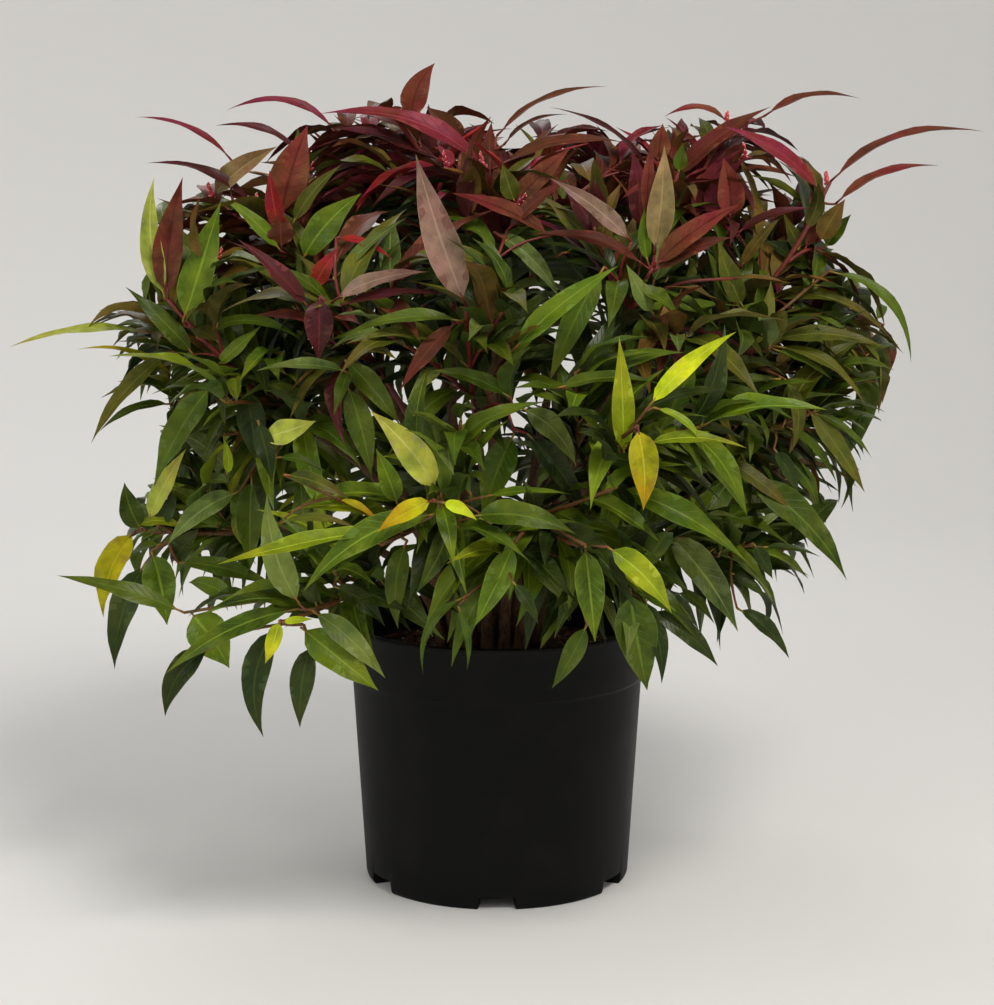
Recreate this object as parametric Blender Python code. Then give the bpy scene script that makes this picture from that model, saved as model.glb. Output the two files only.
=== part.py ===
"""Potted leucothoe: a bushy evergreen shrub in a round black nursery pot.

The origin is the centre of the pot's underside. +Z is up and -Y is the front.
Canes rise from the compost and arch outwards. Each one is a tapering limb that ends where its
spray of foliage begins. A spray is one stem with side twigs and lance-shaped leaves fused on.
"""

import math
import random
from dataclasses import dataclass

import bmesh
import bpy
import numpy as np

CM = 0.01
MM = 0.001
GAP = 0.3 * MM

# The pot: a five litre container with a stepped rim and a notched foot ring.
POT_HEIGHT = 192 * MM
POT_RIM_RADIUS = 110.5 * MM
POT_BAND_RADIUS = 108.2 * MM
POT_FOOT_RADIUS = 94.5 * MM
POT_WALL = 1.9 * MM
POT_LIP = 4.5 * MM
POT_BAND_LOW = 151 * MM
POT_GROOVE = 1.3 * MM
POT_FLOOR = 9.5 * MM
POT_FLOOR_THICK = 2.6 * MM
POT_CORNER = 5.0 * MM
POT_LEAN = 9.3 * MM
FOOT_WIDTH = 10 * MM
NOTCH_COUNT = 6
NOTCH_ANGLE = math.radians(16)
NOTCH_HEIGHT = 10.4 * MM
POT_SIDES = 32

# The compost fills the pot to a little below its rim and is a touch higher in the middle.
COMPOST_TOP = 175 * MM
COMPOST_EDGE = 169 * MM
COMPOST_FLAT = 62 * MM
COMPOST_SIDES = 24

# The canes, thickest where they leave the compost.
CANE_FOOT_LOW = 4.6 * CM
CANE_FOOT_HIGH = 1.9 * CM
CANE_RADIUS = 3.9 * MM
CANE_TIP_RADIUS = 2.5 * MM
CANE_SIDES = 5
CANE_STEPS = 5
CANE_SHARE = 0.58
CANE_APART = 9.6 * MM
CANE_ROUNDS = 60

# The stems and side twigs inside the foliage, three-sided and tapering.
STEM_RADIUS = 2.4 * MM
STEM_TIP_RADIUS = 1.5 * MM
TWIG_RADIUS = 1.9 * MM
TWIG_TIP_RADIUS = 1.3 * MM
TWIG_ROOT_RADIUS = 0.7 * MM
STEM_STEPS = 4
TWIG_STEPS = 2
TWIG_LENGTHS = (9.0 * CM, 8.2 * CM, 7.2 * CM, 6.0 * CM)
TWIG_PLACES = (0.16, 0.38, 0.60, 0.82)
TWIGS_PER_MASS = 5
TWIG_SPREAD = math.radians(52)
GOLDEN_ANGLE = math.radians(137.5)

# The leaves: lance-shaped, arched along the midrib and folded a little along it.
LEAF_LENGTH = 8.6 * CM
LEAF_WIDTH_SHARE = 0.215
LEAF_THICK_SHARE = 0.017
LEAF_ARCH = 0.10
LEAF_FOLD = 0.16
LEAF_SPACING = 1.75 * CM
LEAF_SPREAD = math.radians(56)
LEAF_SUNK = 0.3 * MM
LEAF_WIDEST = 0.40
LEAVES_PER_MASS = 16
BLADE_SPACING = 8 * MM

# The space that a spray keeps to.
SPACE_MARGIN = 2.6 * MM
TWIG_CLEAR = 16 * MM
LIMB_CLEAR = 3.2 * MM
LEAF_CLEAR = 4.5 * MM
LEAF_OFF_TWIG = 5 * MM
LEAF_OWN_ROOT = 22 * MM
POT_CLEAR = 7 * MM
TRACE_STEP = 6 * MM

# The crown's outline, inside which every leaf placed by rule stays.
CROWN_RADIUS_X = 35.0 * CM
CROWN_RADIUS_Y = 32.0 * CM
CROWN_MIDDLE = 36.5 * CM
CROWN_TOP = 59.0 * CM
CROWN_LOW = 13.5 * CM
CROWN_ROUND_UP = 2.9
CROWN_ROUND_DOWN = 2.1

SEED = 4561


@dataclass(frozen=True)
class Blade:
    """A leaf that shows on its own: degrees in the front view, centimetres, degrees to the front."""

    angle: float
    length: float
    lean: float = 15.0
    face: float = 50.0


@dataclass(frozen=True)
class Shoot:
    """The tip of a stem or side twig in centimetres, with the leaves that end it."""

    tip: tuple
    blades: tuple


@dataclass(frozen=True)
class Spray:
    """One cane with its foliage: the first shoot ends the main stem, the others end side twigs."""

    name: str
    pitch: float
    shoots: tuple
    colour: tuple


@dataclass
class Leaf:
    """A leaf's midrib as three points of a parabola, its half width and the way it faces."""

    root: np.ndarray
    bend: np.ndarray
    tip: np.ndarray
    half_width: float
    normal: np.ndarray


@dataclass
class Mass:
    """The grown foliage of one spray."""

    name: str
    colour: tuple
    limb: np.ndarray
    stem: np.ndarray
    twigs: list
    leaves: list


GREEN = (0.045, 0.125, 0.022)
OLIVE = (0.115, 0.135, 0.030)
LIME = (0.200, 0.300, 0.030)
BRONZE = (0.150, 0.060, 0.035)
WINE = (0.120, 0.025, 0.030)

# Sprays that show from the front, read from the picture: places in centimetres from the origin.
FRONT_SPRAYS = (
    Spray("low_left", 5, (
        Shoot((-25.2, -6.0, 26.6), (Blade(66, 6.0), Blade(-5, 3.8, 35), Blade(108, 4.4), Blade(-111, 6.8))),
        Shoot((-24.4, -7.0, 24.4), (Blade(-81, 6.0), Blade(-108, 7.4, 5))),
    ), LIME),
    Spray("low_front_left", -8, (
        Shoot((-13.0, -20.0, 23.0), (Blade(-37, 6.8), Blade(-114, 3.6, 40), Blade(-151, 9.8), Blade(-94, 6.6, 0))),
        Shoot((-21.6, -12.0, 21.9), (Blade(161, 8.8, 5), Blade(-46, 5.4, 30))),
        Shoot((-11.6, -18.5, 24.4), (Blade(-43, 6.9, 30), Blade(108, 7.3, 5, 75))),
    ), GREEN),
    Spray("mid_front_left", 14, (
        Shoot((-3.8, -24.0, 31.7), (Blade(130, 7.2, 10, 75), Blade(-147, 5.0, 35), Blade(-167, 13.0, 8), Blade(-24, 3.4, 40))),
        Shoot((-2.2, -21.5, 30.6), (Blade(-4, 8.4, 20), Blade(-147, 10.4, 22))),
        Shoot((-6.6, -20.5, 31.4), (Blade(108, 5.4, 20), Blade(-100, 6.4, 25))),
    ), LIME),
    Spray("low_front", -6, (
        Shoot((3.6, -25.5, 29.4), (Blade(-75, 7.2, 20), Blade(-47, 6.6, 32), Blade(-100, 6.4, 38))),
        Shoot((-0.6, -23.0, 28.6), (Blade(-112, 6.8, 22), Blade(-124, 6.2, 5))),
    ), GREEN),
    Spray("low_front_right", -10, (
        Shoot((8.4, -21.0, 25.2), (Blade(-65, 7.6, 22), Blade(-41, 6.6, 25), Blade(-118, 6.0, 20))),
    ), GREEN),
    Spray("mid_front_right", 22, (
        Shoot((8.8, -24.0, 36.2), (Blade(42, 7.6, 15, 70), Blade(-79, 5.6, 20, 75), Blade(-3, 6.6, 20))),
        Shoot((7.4, -21.5, 34.6), (Blade(89, 7.4, 8, 82), Blade(-41, 5.0, 15))),
        Shoot((7.8, -20.0, 32.0), (Blade(-30, 10.2, 18),)),
    ), LIME),
    Spray("low_right", -4, (
        Shoot((17.4, -10.0, 25.6), (Blade(-46, 8.4, 15), Blade(-11, 5.4, 0), Blade(-80, 6.4, 20))),
        Shoot((12.0, -13.5, 27.4), (Blade(-53, 9.4, 18),)),
    ), GREEN),
    Spray("mid_right_low", 12, (
        Shoot((22.2, -4.0, 34.2), (Blade(-56, 8.0, 10), Blade(-30, 6.4, 0), Blade(-78, 6.0, 25))),
        Shoot((18.0, -8.0, 30.6), (Blade(-49, 7.6, 20),)),
    ), GREEN),
    Spray("mid_right", 22, (
        Shoot((19.4, -6.0, 40.2), (Blade(0, 8.8, 5), Blade(-33, 7.8, 10), Blade(-70, 6.2, 30))),
        Shoot((24.0, 1.0, 44.6), (Blade(-44, 9.6, 0), Blade(-14, 7.6, 0), Blade(20, 6.0, -10))),
    ), OLIVE),
    Spray("right_top", 66, (
        Shoot((24.0, 0.0, 50.8), (Blade(19, 11.2, 0, 35), Blade(16, 8.2, 22, 35), Blade(112, 4.6, 10))),
        Shoot((22.8, 2.0, 46.6), (Blade(57, 4.6, 10, 70), Blade(118, 4.6, 20, 70))),
    ), BRONZE),
    Spray("top_right", 62, (
        Shoot((16.8, 3.0, 55.2), (Blade(10, 8.6, 0, 30), Blade(-36, 8.8, 15, 40), Blade(172, 5.2, 0, 30))),
        Shoot((16.6, -2.0, 48.2), (Blade(102, 5.2, 5, 80), Blade(140, 7.6, 10, 45))),
    ), BRONZE),
    Spray("upper_front_right", 54, (
        Shoot((10.3, -12.0, 45.6), (Blade(83, 10.0, 5, 82), Blade(47, 6.8, 10, 60), Blade(35, 7.0, 30, 60))),
        Shoot((7.6, -14.0, 44.6), (Blade(-132, 8.8, 20, 62), Blade(138, 7.2, 5, 60))),
        Shoot((14.6, -9.0, 45.4), (Blade(59, 5.0, 10, 65), Blade(-8, 7.0, 15))),
    ), BRONZE),
    Spray("upper_front", 62, (
        Shoot((-2.1, -18.0, 43.3), (Blade(107, 11.2, 6, 80), Blade(-173, 8.0, 12, 45), Blade(-132, 7.0, 25, 60))),
        Shoot((1.4, -17.5, 36.4), (Blade(-112, 6.4, 20, 60), Blade(-48, 6.4, 22), Blade(150, 6.0, 18))),
        Shoot((0.8, -11.0, 48.2), (Blade(-44, 6.6, 18, 60), Blade(40, 5.6, 0, 60))),
    ), GREEN),
    Spray("top_mid", 64, (
        Shoot((-0.6, -5.0, 52.9), (Blade(25, 8.8, 0, 35), Blade(162, 11.0, 0, 40), Blade(16, 7.4, 25, 40))),
        Shoot((-3.4, -7.0, 50.4), (Blade(-24, 7.8, 18, 50), Blade(-158, 7.0, 20, 45))),
        Shoot((9.0, 5.0, 52.4), (Blade(147, 8.6, 0, 40), Blade(60, 5.0, 0, 60))),
    ), WINE),
    Spray("top_left", 66, (
        Shoot((-6.3, 2.0, 55.5), (Blade(66, 4.6, 5, 75), Blade(172, 9.6, 0, 35), Blade(20, 5.0, 0, 60))),
        Shoot((-12.6, 5.0, 54.2), (Blade(171, 8.6, 0, 35), Blade(159, 8.0, 20, 40), Blade(60, 3.8, 0))),
    ), WINE),
    Spray("upper_left_top", 52, (
        Shoot((-17.2, 0.0, 49.4), (Blade(153, 9.8, 0, 35), Blade(160, 8.8, 20, 40), Blade(70, 6.6, 10, 72))),
        Shoot((-15.4, -4.0, 46.4), (Blade(140, 6.0, 20, 60), Blade(96, 5.4, 10, 80), Blade(44, 6.0, 10, 60))),
    ), BRONZE),
    Spray("upper_left", 58, (
        Shoot((-22.4, -8.0, 43.3), (Blade(83, 8.4, 8, 80), Blade(98, 8.6, -12, 70), Blade(69, 8.8, 24, 75))),
        Shoot((-20.6, -7.0, 39.4), (Blade(130, 6.6, 20), Blade(42, 5.4, 20))),
    ), GREEN),
    Spray("mid_left", 20, (
        Shoot((-24.2, -2.0, 39.6), (Blade(180, 11.0, 0, 35), Blade(167, 7.0, 20, 40), Blade(-134, 9.8, 12))),
        Shoot((-23.6, 2.0, 42.0), (Blade(-167, 6.4, 0), Blade(150, 6.4, -15))),
    ), OLIVE),
    Spray("mid_left_front", 16, (
        Shoot((-19.2, -11.0, 37.4), (Blade(-122, 8.8, 15, 62), Blade(-67, 6.8, 22, 62))),
        Shoot((-12.8, -15.0, 34.8), (Blade(-154, 4.8, 20, 70), Blade(-70, 6.4, 22))),
        Shoot((-17.6, -10.0, 30.8), (Blade(-139, 6.8, 22), Blade(-82, 6.6, 12))),
    ), GREEN),
    Spray("upper_front_left", 48, (
        Shoot((-11.2, -15.0, 44.2), (Blade(16, 6.6, 18, 55), Blade(-91, 4.8, 30, 80), Blade(140, 7.4, 5, 50))),
        Shoot((-11.8, -12.5, 46.8), (Blade(-18, 5.6, 20, 60), Blade(55, 5.2, 5, 60))),
        Shoot((-10.0, -16.0, 38.8), (Blade(-73, 7.4, 20, 62), Blade(-49, 6.8, 25), Blade(-170, 6.4, 15))),
    ), WINE),
)

# Sprays behind, in rings round the pot: name, count, distance out, height, pitch of the tip.
BACK_RINGS = (
    ("low_back", 4, 25.5, 26.0, -6, GREEN),
    ("mid_back", 3, 24.0, 40.5, 20, GREEN),
    ("upper_back", 2, 17.5, 50.5, 52, BRONZE),
)
BACK_FIRST = math.radians(24)
BACK_LAST = math.radians(156)


def unit(vector):
    """The vector scaled to length one."""
    return vector / max(np.linalg.norm(vector), 1e-12)


def bezier(points, places):
    """Points at the given shares along a curve with two, three or four control points."""
    rows = np.repeat(np.array(points, float)[None], len(places), axis=0)
    share = np.array(places, float)[:, None, None]
    while rows.shape[1] > 1:
        rows = rows[:, :-1] * (1 - share) + rows[:, 1:] * share
    return rows[:, 0]


def trace(path, step=TRACE_STEP):
    """Points spaced evenly along a path, its ends included."""
    spans = np.linalg.norm(np.diff(path, axis=0), axis=1)
    along = np.concatenate([[0.0], np.cumsum(spans)])
    count = max(2, int(math.ceil(along[-1] / step)) + 1)
    places = np.linspace(0.0, along[-1], count)
    return np.stack([np.interp(places, along, path[:, axis]) for axis in range(3)], axis=1)


def crown_excess(points):
    """How far points are beyond the crown's rounded outline: one on it, less inside."""
    rise = points[:, 2] - CROWN_MIDDLE
    tall = np.where(rise > 0, CROWN_TOP - CROWN_MIDDLE, CROWN_MIDDLE - CROWN_LOW)
    power = np.where(rise > 0, CROWN_ROUND_UP, CROWN_ROUND_DOWN)
    across = np.hypot(points[:, 0] / CROWN_RADIUS_X, points[:, 1] / CROWN_RADIUS_Y)
    return across ** power + np.abs(rise / tall) ** power


def outward(point):
    """The way out of the crown at a point, tilted up."""
    return unit(np.array([point[0], point[1], (point[2] - 0.30) * 0.9 + 0.02]))


def back_sprays():
    """The sprays behind the pot, spread evenly in rings."""
    sprays = []
    for name, count, reach, height, pitch, colour in BACK_RINGS:
        for index in range(count):
            share = (index + 0.5) / count
            angle = BACK_FIRST + share * (BACK_LAST - BACK_FIRST)
            tip = (reach * math.cos(angle), reach * math.sin(angle), height + 1.5 * (index % 2))
            sprays.append(Spray(f"{name}_{index + 1}", pitch, (Shoot(tip, ()),), colour))
    return sprays


def cane_feet(sprays):
    """Where the canes leave the compost: the low ones further out, all pushed apart evenly."""
    tips = np.array([spray.shoots[0].tip for spray in sprays]) * CM
    flat = tips[:, :2]
    away = flat / np.linalg.norm(flat, axis=1)[:, None]
    height = (tips[:, 2] - COMPOST_TOP) / (CROWN_TOP - COMPOST_TOP)
    reach = CANE_FOOT_LOW + (CANE_FOOT_HIGH - CANE_FOOT_LOW) * height
    feet = away * reach[:, None]
    for _ in range(CANE_ROUNDS):
        gaps = feet[:, None] - feet[None]
        spans = np.linalg.norm(gaps, axis=2) + np.eye(len(feet))
        push = np.clip(CANE_APART - spans, 0.0, None) / spans
        np.fill_diagonal(push, 0.0)
        feet = feet + 0.35 * (gaps * push[:, :, None]).sum(axis=1)
    return np.column_stack([feet, np.full(len(feet), COMPOST_TOP + GAP)])


def cane_curve(spray, foot):
    """The four control points of a cane, from the compost to the tip of its foliage."""
    tip = np.array(spray.shoots[0].tip) * CM
    away = unit(np.array([tip[0], tip[1], 0.0]))
    pitch = math.radians(spray.pitch)
    end = away * math.cos(pitch) + np.array([0.0, 0.0, math.sin(pitch)])
    span = np.linalg.norm(tip - foot)
    rise = max(tip[2] - foot[2], 0.0)
    first = foot + np.array([0.0, 0.0, 0.42 * span + 0.10 * rise]) + away * 0.10 * span
    second = tip - end * 0.42 * span
    return foot, first, second, tip


def shoot_path(stem, tip):
    """A side twig's path from a lower place on the stem to a given tip, arching up to it."""
    gaps = np.linalg.norm(stem - tip, axis=1)
    spans = np.concatenate([[0.0], np.cumsum(np.linalg.norm(np.diff(stem, axis=0), axis=1))])
    nearest = spans[int(np.argmin(gaps))]
    start_at = np.clip(nearest - 0.55 * gaps.min() - 8 * MM, 14 * MM, spans[-1] * 0.9)
    start = np.array([np.interp(start_at, spans, stem[:, axis]) for axis in range(3)])
    ahead = np.array([np.interp(min(start_at + 5 * MM, spans[-1]), spans, stem[:, axis]) for axis in range(3)])
    length = np.linalg.norm(tip - start)
    bend = start + unit(ahead - start) * 0.38 * length + np.array([0.0, 0.0, 0.06 * length])
    return bezier((start, bend, tip), np.linspace(0, 1, TWIG_STEPS + 1))


def blade_leaf(blade, root):
    """A leaf that is drawn by its angle and length in the front view."""
    angle, lean, face = (math.radians(value) for value in (blade.angle, blade.lean, blade.face))
    way = np.array([math.cos(angle) * math.cos(lean), -math.sin(lean), math.sin(angle) * math.cos(lean)])
    towards = np.array([0.0, -math.sin(face), math.cos(face)])
    length = blade.length * CM / math.cos(lean)
    return make_leaf(root, way, towards, length)


def make_leaf(root, way, towards, length):
    """A leaf from its root, the way it runs and the side it faces."""
    normal = unit(towards - way * float(towards @ way))
    tip = root + way * length
    bend = (root + tip) / 2 + normal * 2 * LEAF_ARCH * length
    half = 0.5 * LEAF_WIDTH_SHARE * min(length, 10 * CM) * (1.0 if length > 6 * CM else 1.15)
    return Leaf(root - way * LEAF_SUNK, bend, tip, half, normal)


def leaf_points(leaf, places=(0.12, 0.3, 0.45, 0.6, 0.8, 1.0)):
    """Points on a leaf's midrib and both edges, to test where it lies."""
    middle = bezier((leaf.root, leaf.bend, leaf.tip), places)
    across = unit(np.cross(leaf.normal, leaf.tip - leaf.root)) * leaf.half_width
    width = np.interp(places, (0.0, 0.42, 1.0), (0.1, 1.0, 0.0))[:, None]
    return np.concatenate([middle, middle + across * width, middle - across * width])


def nearest(points, others):
    """The distance from each point to the nearest of some others."""
    if not len(others):
        return np.full(len(points), 9.0)
    return np.linalg.norm(points[:, None, :] - others[None, :, :], axis=2).min(axis=1)


class Crown:
    """All the sprays as they grow, each with the lines that mark its own space."""

    def __init__(self, sprays):
        """Set out every limb, main stem and drawn shoot before anything is grown by rule."""
        self.random = random.Random(SEED)
        self.masses = []
        self.lines = []
        self.hooks = []
        for spray, foot in zip(sprays, cane_feet(sprays)):
            self.set_out(spray, foot)
        self.limbs = np.concatenate([trace(mass.limb) for mass in self.masses])

    def set_out(self, spray, foot):
        """Start one spray with its limb, stem and the shoots that are drawn."""
        curve = cane_curve(spray, foot)
        limb = bezier(curve, np.linspace(0, CANE_SHARE, CANE_STEPS + 1))
        stem = bezier(curve, np.linspace(CANE_SHARE, 1, STEM_STEPS + 1))
        stem[0] += unit(stem[1] - stem[0]) * GAP
        mass = Mass(spray.name, spray.colour, limb, stem, [], [])
        lines = [trace(stem)]
        hooks = [stem]
        fine = trace(stem, 2 * MM)
        for index, shoot in enumerate(spray.shoots):
            tip = np.array(shoot.tip) * CM
            path = stem
            if index:
                path = shoot_path(fine, tip)
                mass.twigs.append(path)
                lines.append(trace(path))
                hooks.append(path)
            ends = trace(path, 2 * MM)[::-1]
            for order, blade in enumerate(shoot.blades):
                at = int(order * BLADE_SPACING / (2 * MM)) + 1
                leaf = blade_leaf(blade, ends[min(at, len(ends) - 1)])
                mass.leaves.append(leaf)
                lines.append(trace(bezier((leaf.root, leaf.bend, leaf.tip), np.linspace(0, 1, 6))))
        self.masses.append(mass)
        self.lines.append(np.concatenate(lines))
        self.hooks.append(hooks)

    def others(self, index):
        """The lines of every spray but one."""
        return np.concatenate([line for place, line in enumerate(self.lines) if place != index])

    def clear_of_pot(self, points, margin):
        """Whether points stay outside the pot and above the compost."""
        across = np.hypot(points[:, 0], points[:, 1])
        near = (across < POT_RIM_RADIUS + margin) & (points[:, 2] < POT_HEIGHT + margin)
        return not near.any()

    def twig_fits(self, index, path):
        """Whether a twig keeps to its spray's space, clear of limbs, pot and outline."""
        points = trace(path)[1:]
        if crown_excess(points).max() > 0.80 or not self.clear_of_pot(points, 2 * POT_CLEAR):
            return False
        if nearest(points, self.others(index)).min() < TWIG_CLEAR:
            return False
        if nearest(points, self.limbs).min() < CANE_RADIUS + TWIG_RADIUS + LIMB_CLEAR:
            return False
        own = self.lines[index]
        far = own[np.linalg.norm(own - path[0], axis=1) > 24 * MM]
        return nearest(points[1:], far).min() > 11 * MM if len(far) else True

    def leaf_fits(self, index, leaf):
        """Whether a leaf keeps to its spray's space and clear of its neighbours."""
        points = leaf_points(leaf)
        if crown_excess(points).max() > 1.0 or not self.clear_of_pot(points, POT_CLEAR):
            return False
        if nearest(points, self.limbs).min() < CANE_RADIUS + LIMB_CLEAR:
            return False
        if (nearest(points, self.others(index)) < nearest(points, self.lines[index]) + SPACE_MARGIN).any():
            return False
        wood = np.concatenate([trace(hook) for hook in self.hooks[index]])
        wood = wood[np.linalg.norm(wood - leaf.root, axis=1) > LEAF_OWN_ROOT]
        if nearest(points, wood).min() < LEAF_OFF_TWIG:
            return False
        outer = points[np.linalg.norm(points - leaf.root, axis=1) > LEAF_OWN_ROOT]
        return all(nearest(outer, leaf_points(other)).min() > LEAF_CLEAR for other in self.masses[index].leaves)

    def grow_twigs(self, index):
        """Side twigs by rule: round the main stem by the golden angle, turned outwards and up."""
        mass = self.masses[index]
        fine = trace(mass.stem, 2 * MM)
        turn = self.random.uniform(0, 2 * math.pi)
        for place, length in zip(TWIG_PLACES, TWIG_LENGTHS):
            if len(mass.twigs) >= TWIGS_PER_MASS:
                return
            at = int(place * (len(fine) - 1))
            ahead = unit(fine[min(at + 2, len(fine) - 1)] - fine[max(at - 2, 0)])
            side = unit(np.cross(ahead, (0.0, 0.0, 1.0)))
            lift = np.cross(side, ahead)
            turn += GOLDEN_ANGLE
            for shift, scale in ((0, 1), (0.6, 1), (-0.6, 1), (1.2, 0.9), (-1.2, 0.9), (0, 0.7), (2.2, 0.75), (-2.2, 0.75)):
                around = side * math.cos(turn + shift) + lift * math.sin(turn + shift)
                way = ahead * math.cos(TWIG_SPREAD) + around * math.sin(TWIG_SPREAD)
                way = unit(way + 0.35 * outward(fine[at]))
                tip = fine[at] + way * length * scale
                bend = fine[at] + unit(way + 0.5 * ahead) * 0.5 * length * scale
                path = bezier((fine[at], bend, tip), np.linspace(0, 1, TWIG_STEPS + 1))
                if self.twig_fits(index, path):
                    mass.twigs.append(path)
                    self.hooks[index].append(path)
                    self.lines[index] = np.concatenate([self.lines[index], trace(path)])
                    break

    def grow_leaves(self, index, limit):
        """Leaves by rule: from each tip backwards, on either side in turn."""
        mass = self.masses[index]
        for hook in self.hooks[index]:
            fine = trace(hook, 2 * MM)
            spacing = max(1, int(LEAF_SPACING / (2 * MM)))
            for order, at in enumerate(range(len(fine) - 2, 5, -spacing)):
                if len(mass.leaves) >= limit:
                    return
                leaf = self.find_leaf(index, fine, at, order)
                if leaf:
                    mass.leaves.append(leaf)

    def find_leaf(self, index, fine, at, order):
        """The first way of holding a leaf that fits, or none."""
        ahead = unit(fine[at] - fine[max(at - 3, 0)])
        out = outward(fine[at])
        side = unit(np.cross(ahead, (0.0, 0.0, 1.0)))
        lift = np.cross(side, ahead)
        length = LEAF_LENGTH * self.random.uniform(0.82, 1.12)
        start = (0.0 if order % 2 else math.pi) + self.random.uniform(-0.5, 0.5)
        spread = LEAF_SPREAD if order else 0.3 * LEAF_SPREAD
        droop = self.random.uniform(0.05, 0.40)
        for scale in (1.0, 0.86, 0.72):
            for shift in (0.0, 0.7, -0.7, 1.4, -1.4, 2.4, -2.4, math.pi):
                around = side * math.cos(start + shift) + lift * math.sin(start + shift)
                way = ahead * math.cos(spread) + around * math.sin(spread)
                way = unit(way + 0.25 * out - np.array([0.0, 0.0, droop]))
                towards = np.array([0.0, 0.0, 1.0]) + 0.7 * out
                leaf = make_leaf(fine[at], way, towards, length * scale)
                if self.leaf_fits(index, leaf):
                    return leaf
        return None


def grow_crown():
    """Grow every spray: twigs first, so that each knows its space, then leaves."""
    crown = Crown(list(FRONT_SPRAYS) + back_sprays())
    for index in range(len(crown.masses)):
        crown.grow_twigs(index)
    for index in range(len(crown.masses)):
        crown.grow_leaves(index, LEAVES_PER_MASS)
    return crown


def mesh_from(name, points, faces):
    """A mesh datablock from points and faces."""
    mesh = bpy.data.meshes.new(name)
    mesh.from_pydata([tuple(map(float, point)) for point in points], [], faces)
    mesh.update()
    return mesh


def tube(path, radii, sides):
    """Points and faces of a tapering tube along a path, closed at both ends.

    Each ring is turned as little as possible from the last, so the tube doesn't twist.
    """
    ways = [unit(path[min(i + 1, len(path) - 1)] - path[max(i - 1, 0)]) for i in range(len(path))]
    start = np.array([0.0, 0.0, 1.0]) if abs(ways[0][2]) < 0.8 else np.array([1.0, 0.0, 0.0])
    across = unit(np.cross(ways[0], start))
    points = []
    for place, way, radius in zip(path, ways, radii):
        across = unit(across - way * float(across @ way))
        other = np.cross(way, across)
        for side in range(sides):
            angle = 2 * math.pi * side / sides
            points.append(place + radius * (math.cos(angle) * across + math.sin(angle) * other))
    faces = [tuple(range(sides - 1, -1, -1))]
    for ring in range(len(path) - 1):
        for side in range(sides):
            a = ring * sides + side
            b = ring * sides + (side + 1) % sides
            faces.append((a, b, b + sides, a + sides))
    last = (len(path) - 1) * sides
    faces.append(tuple(range(last, last + sides)))
    return points, faces


def leaf_shape(leaf):
    """Points and the eight faces of a closed leaf, with four points round its widest place."""
    across = unit(np.cross(leaf.normal, leaf.tip - leaf.root)) * leaf.half_width
    fold = leaf.normal * LEAF_FOLD * leaf.half_width
    thick = leaf.normal * 0.5 * LEAF_THICK_SHARE * np.linalg.norm(leaf.tip - leaf.root)
    middle = bezier((leaf.root, leaf.bend, leaf.tip), (LEAF_WIDEST,))[0]
    ring = [middle + across + fold, middle + thick, middle - across + fold, middle - thick]
    faces = [(0, 1 + side, 1 + (side + 1) % 4) for side in range(4)]
    faces += [(1 + side, 5, 1 + (side + 1) % 4) for side in range(4)]
    return [leaf.root, *ring, leaf.tip], faces


def plain_material(name, colour, roughness):
    """A material with one colour and gloss."""
    material = bpy.data.materials.get(name) or bpy.data.materials.new(name)
    material.use_nodes = True
    shader = material.node_tree.nodes["Principled BSDF"]
    shader.inputs["Base Color"].default_value = (*colour, 1.0)
    shader.inputs["Roughness"].default_value = roughness
    shader.inputs["Metallic"].default_value = 0.0
    return material


def add_object(name, mesh, material, collection=None):
    """An object for a mesh, in the scene or in a given collection."""
    item = bpy.data.objects.new(name, mesh)
    if material:
        item.data.materials.append(material)
    (collection or bpy.context.scene.collection).objects.link(item)
    return item


def outward_mesh(mesh):
    """Turn every face of a mesh to point out."""
    work = bmesh.new()
    work.from_mesh(mesh)
    bmesh.ops.recalc_face_normals(work, faces=work.faces)
    work.to_mesh(mesh)
    work.free()


def islands(work):
    """The connected groups of faces in a bmesh."""
    groups = []
    left = set(work.faces)
    while left:
        group = set()
        queue = [left.pop()]
        while queue:
            face = queue.pop()
            group.add(face)
            for edge in face.edges:
                for other in edge.link_faces:
                    if other in left:
                        left.discard(other)
                        queue.append(other)
        groups.append(group)
    return groups


def keep_one_body(mesh):
    """Drop loose scraps and fill sealed hollows, leaving the largest body. True if it is closed."""
    work = bmesh.new()
    work.from_mesh(mesh)
    groups = islands(work)
    largest = max(groups, key=lambda group: sum(face.calc_area() for face in group))
    spare = [face for group in groups if group is not largest for face in group]
    if spare:
        bmesh.ops.delete(work, geom=spare, context="FACES")
    closed = all(edge.is_manifold for edge in work.edges)
    work.to_mesh(mesh)
    work.free()
    return closed


def combine(target, collection, operation):
    """Join or cut an object by every object in a collection, and remove the collection."""
    plain = target.data
    for solver in ("EXACT", "MANIFOLD"):
        modifier = target.modifiers.new("Combine", "BOOLEAN")
        modifier.operation = operation
        modifier.operand_type = "COLLECTION"
        modifier.collection = collection
        modifier.solver = solver
        graph = bpy.context.evaluated_depsgraph_get()
        mesh = bpy.data.meshes.new_from_object(target.evaluated_get(graph))
        target.modifiers.remove(modifier)
        if keep_one_body(mesh):
            break
    name = plain.name
    target.data = mesh
    bpy.data.meshes.remove(plain)
    mesh.name = name
    for item in list(collection.objects):
        used = item.data
        bpy.data.objects.remove(item)
        bpy.data.meshes.remove(used)
    bpy.data.collections.remove(collection)


def new_collection(name):
    """A collection in the scene for the pieces of one union or cut."""
    collection = bpy.data.collections.new(name)
    bpy.context.scene.collection.children.link(collection)
    return collection


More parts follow.
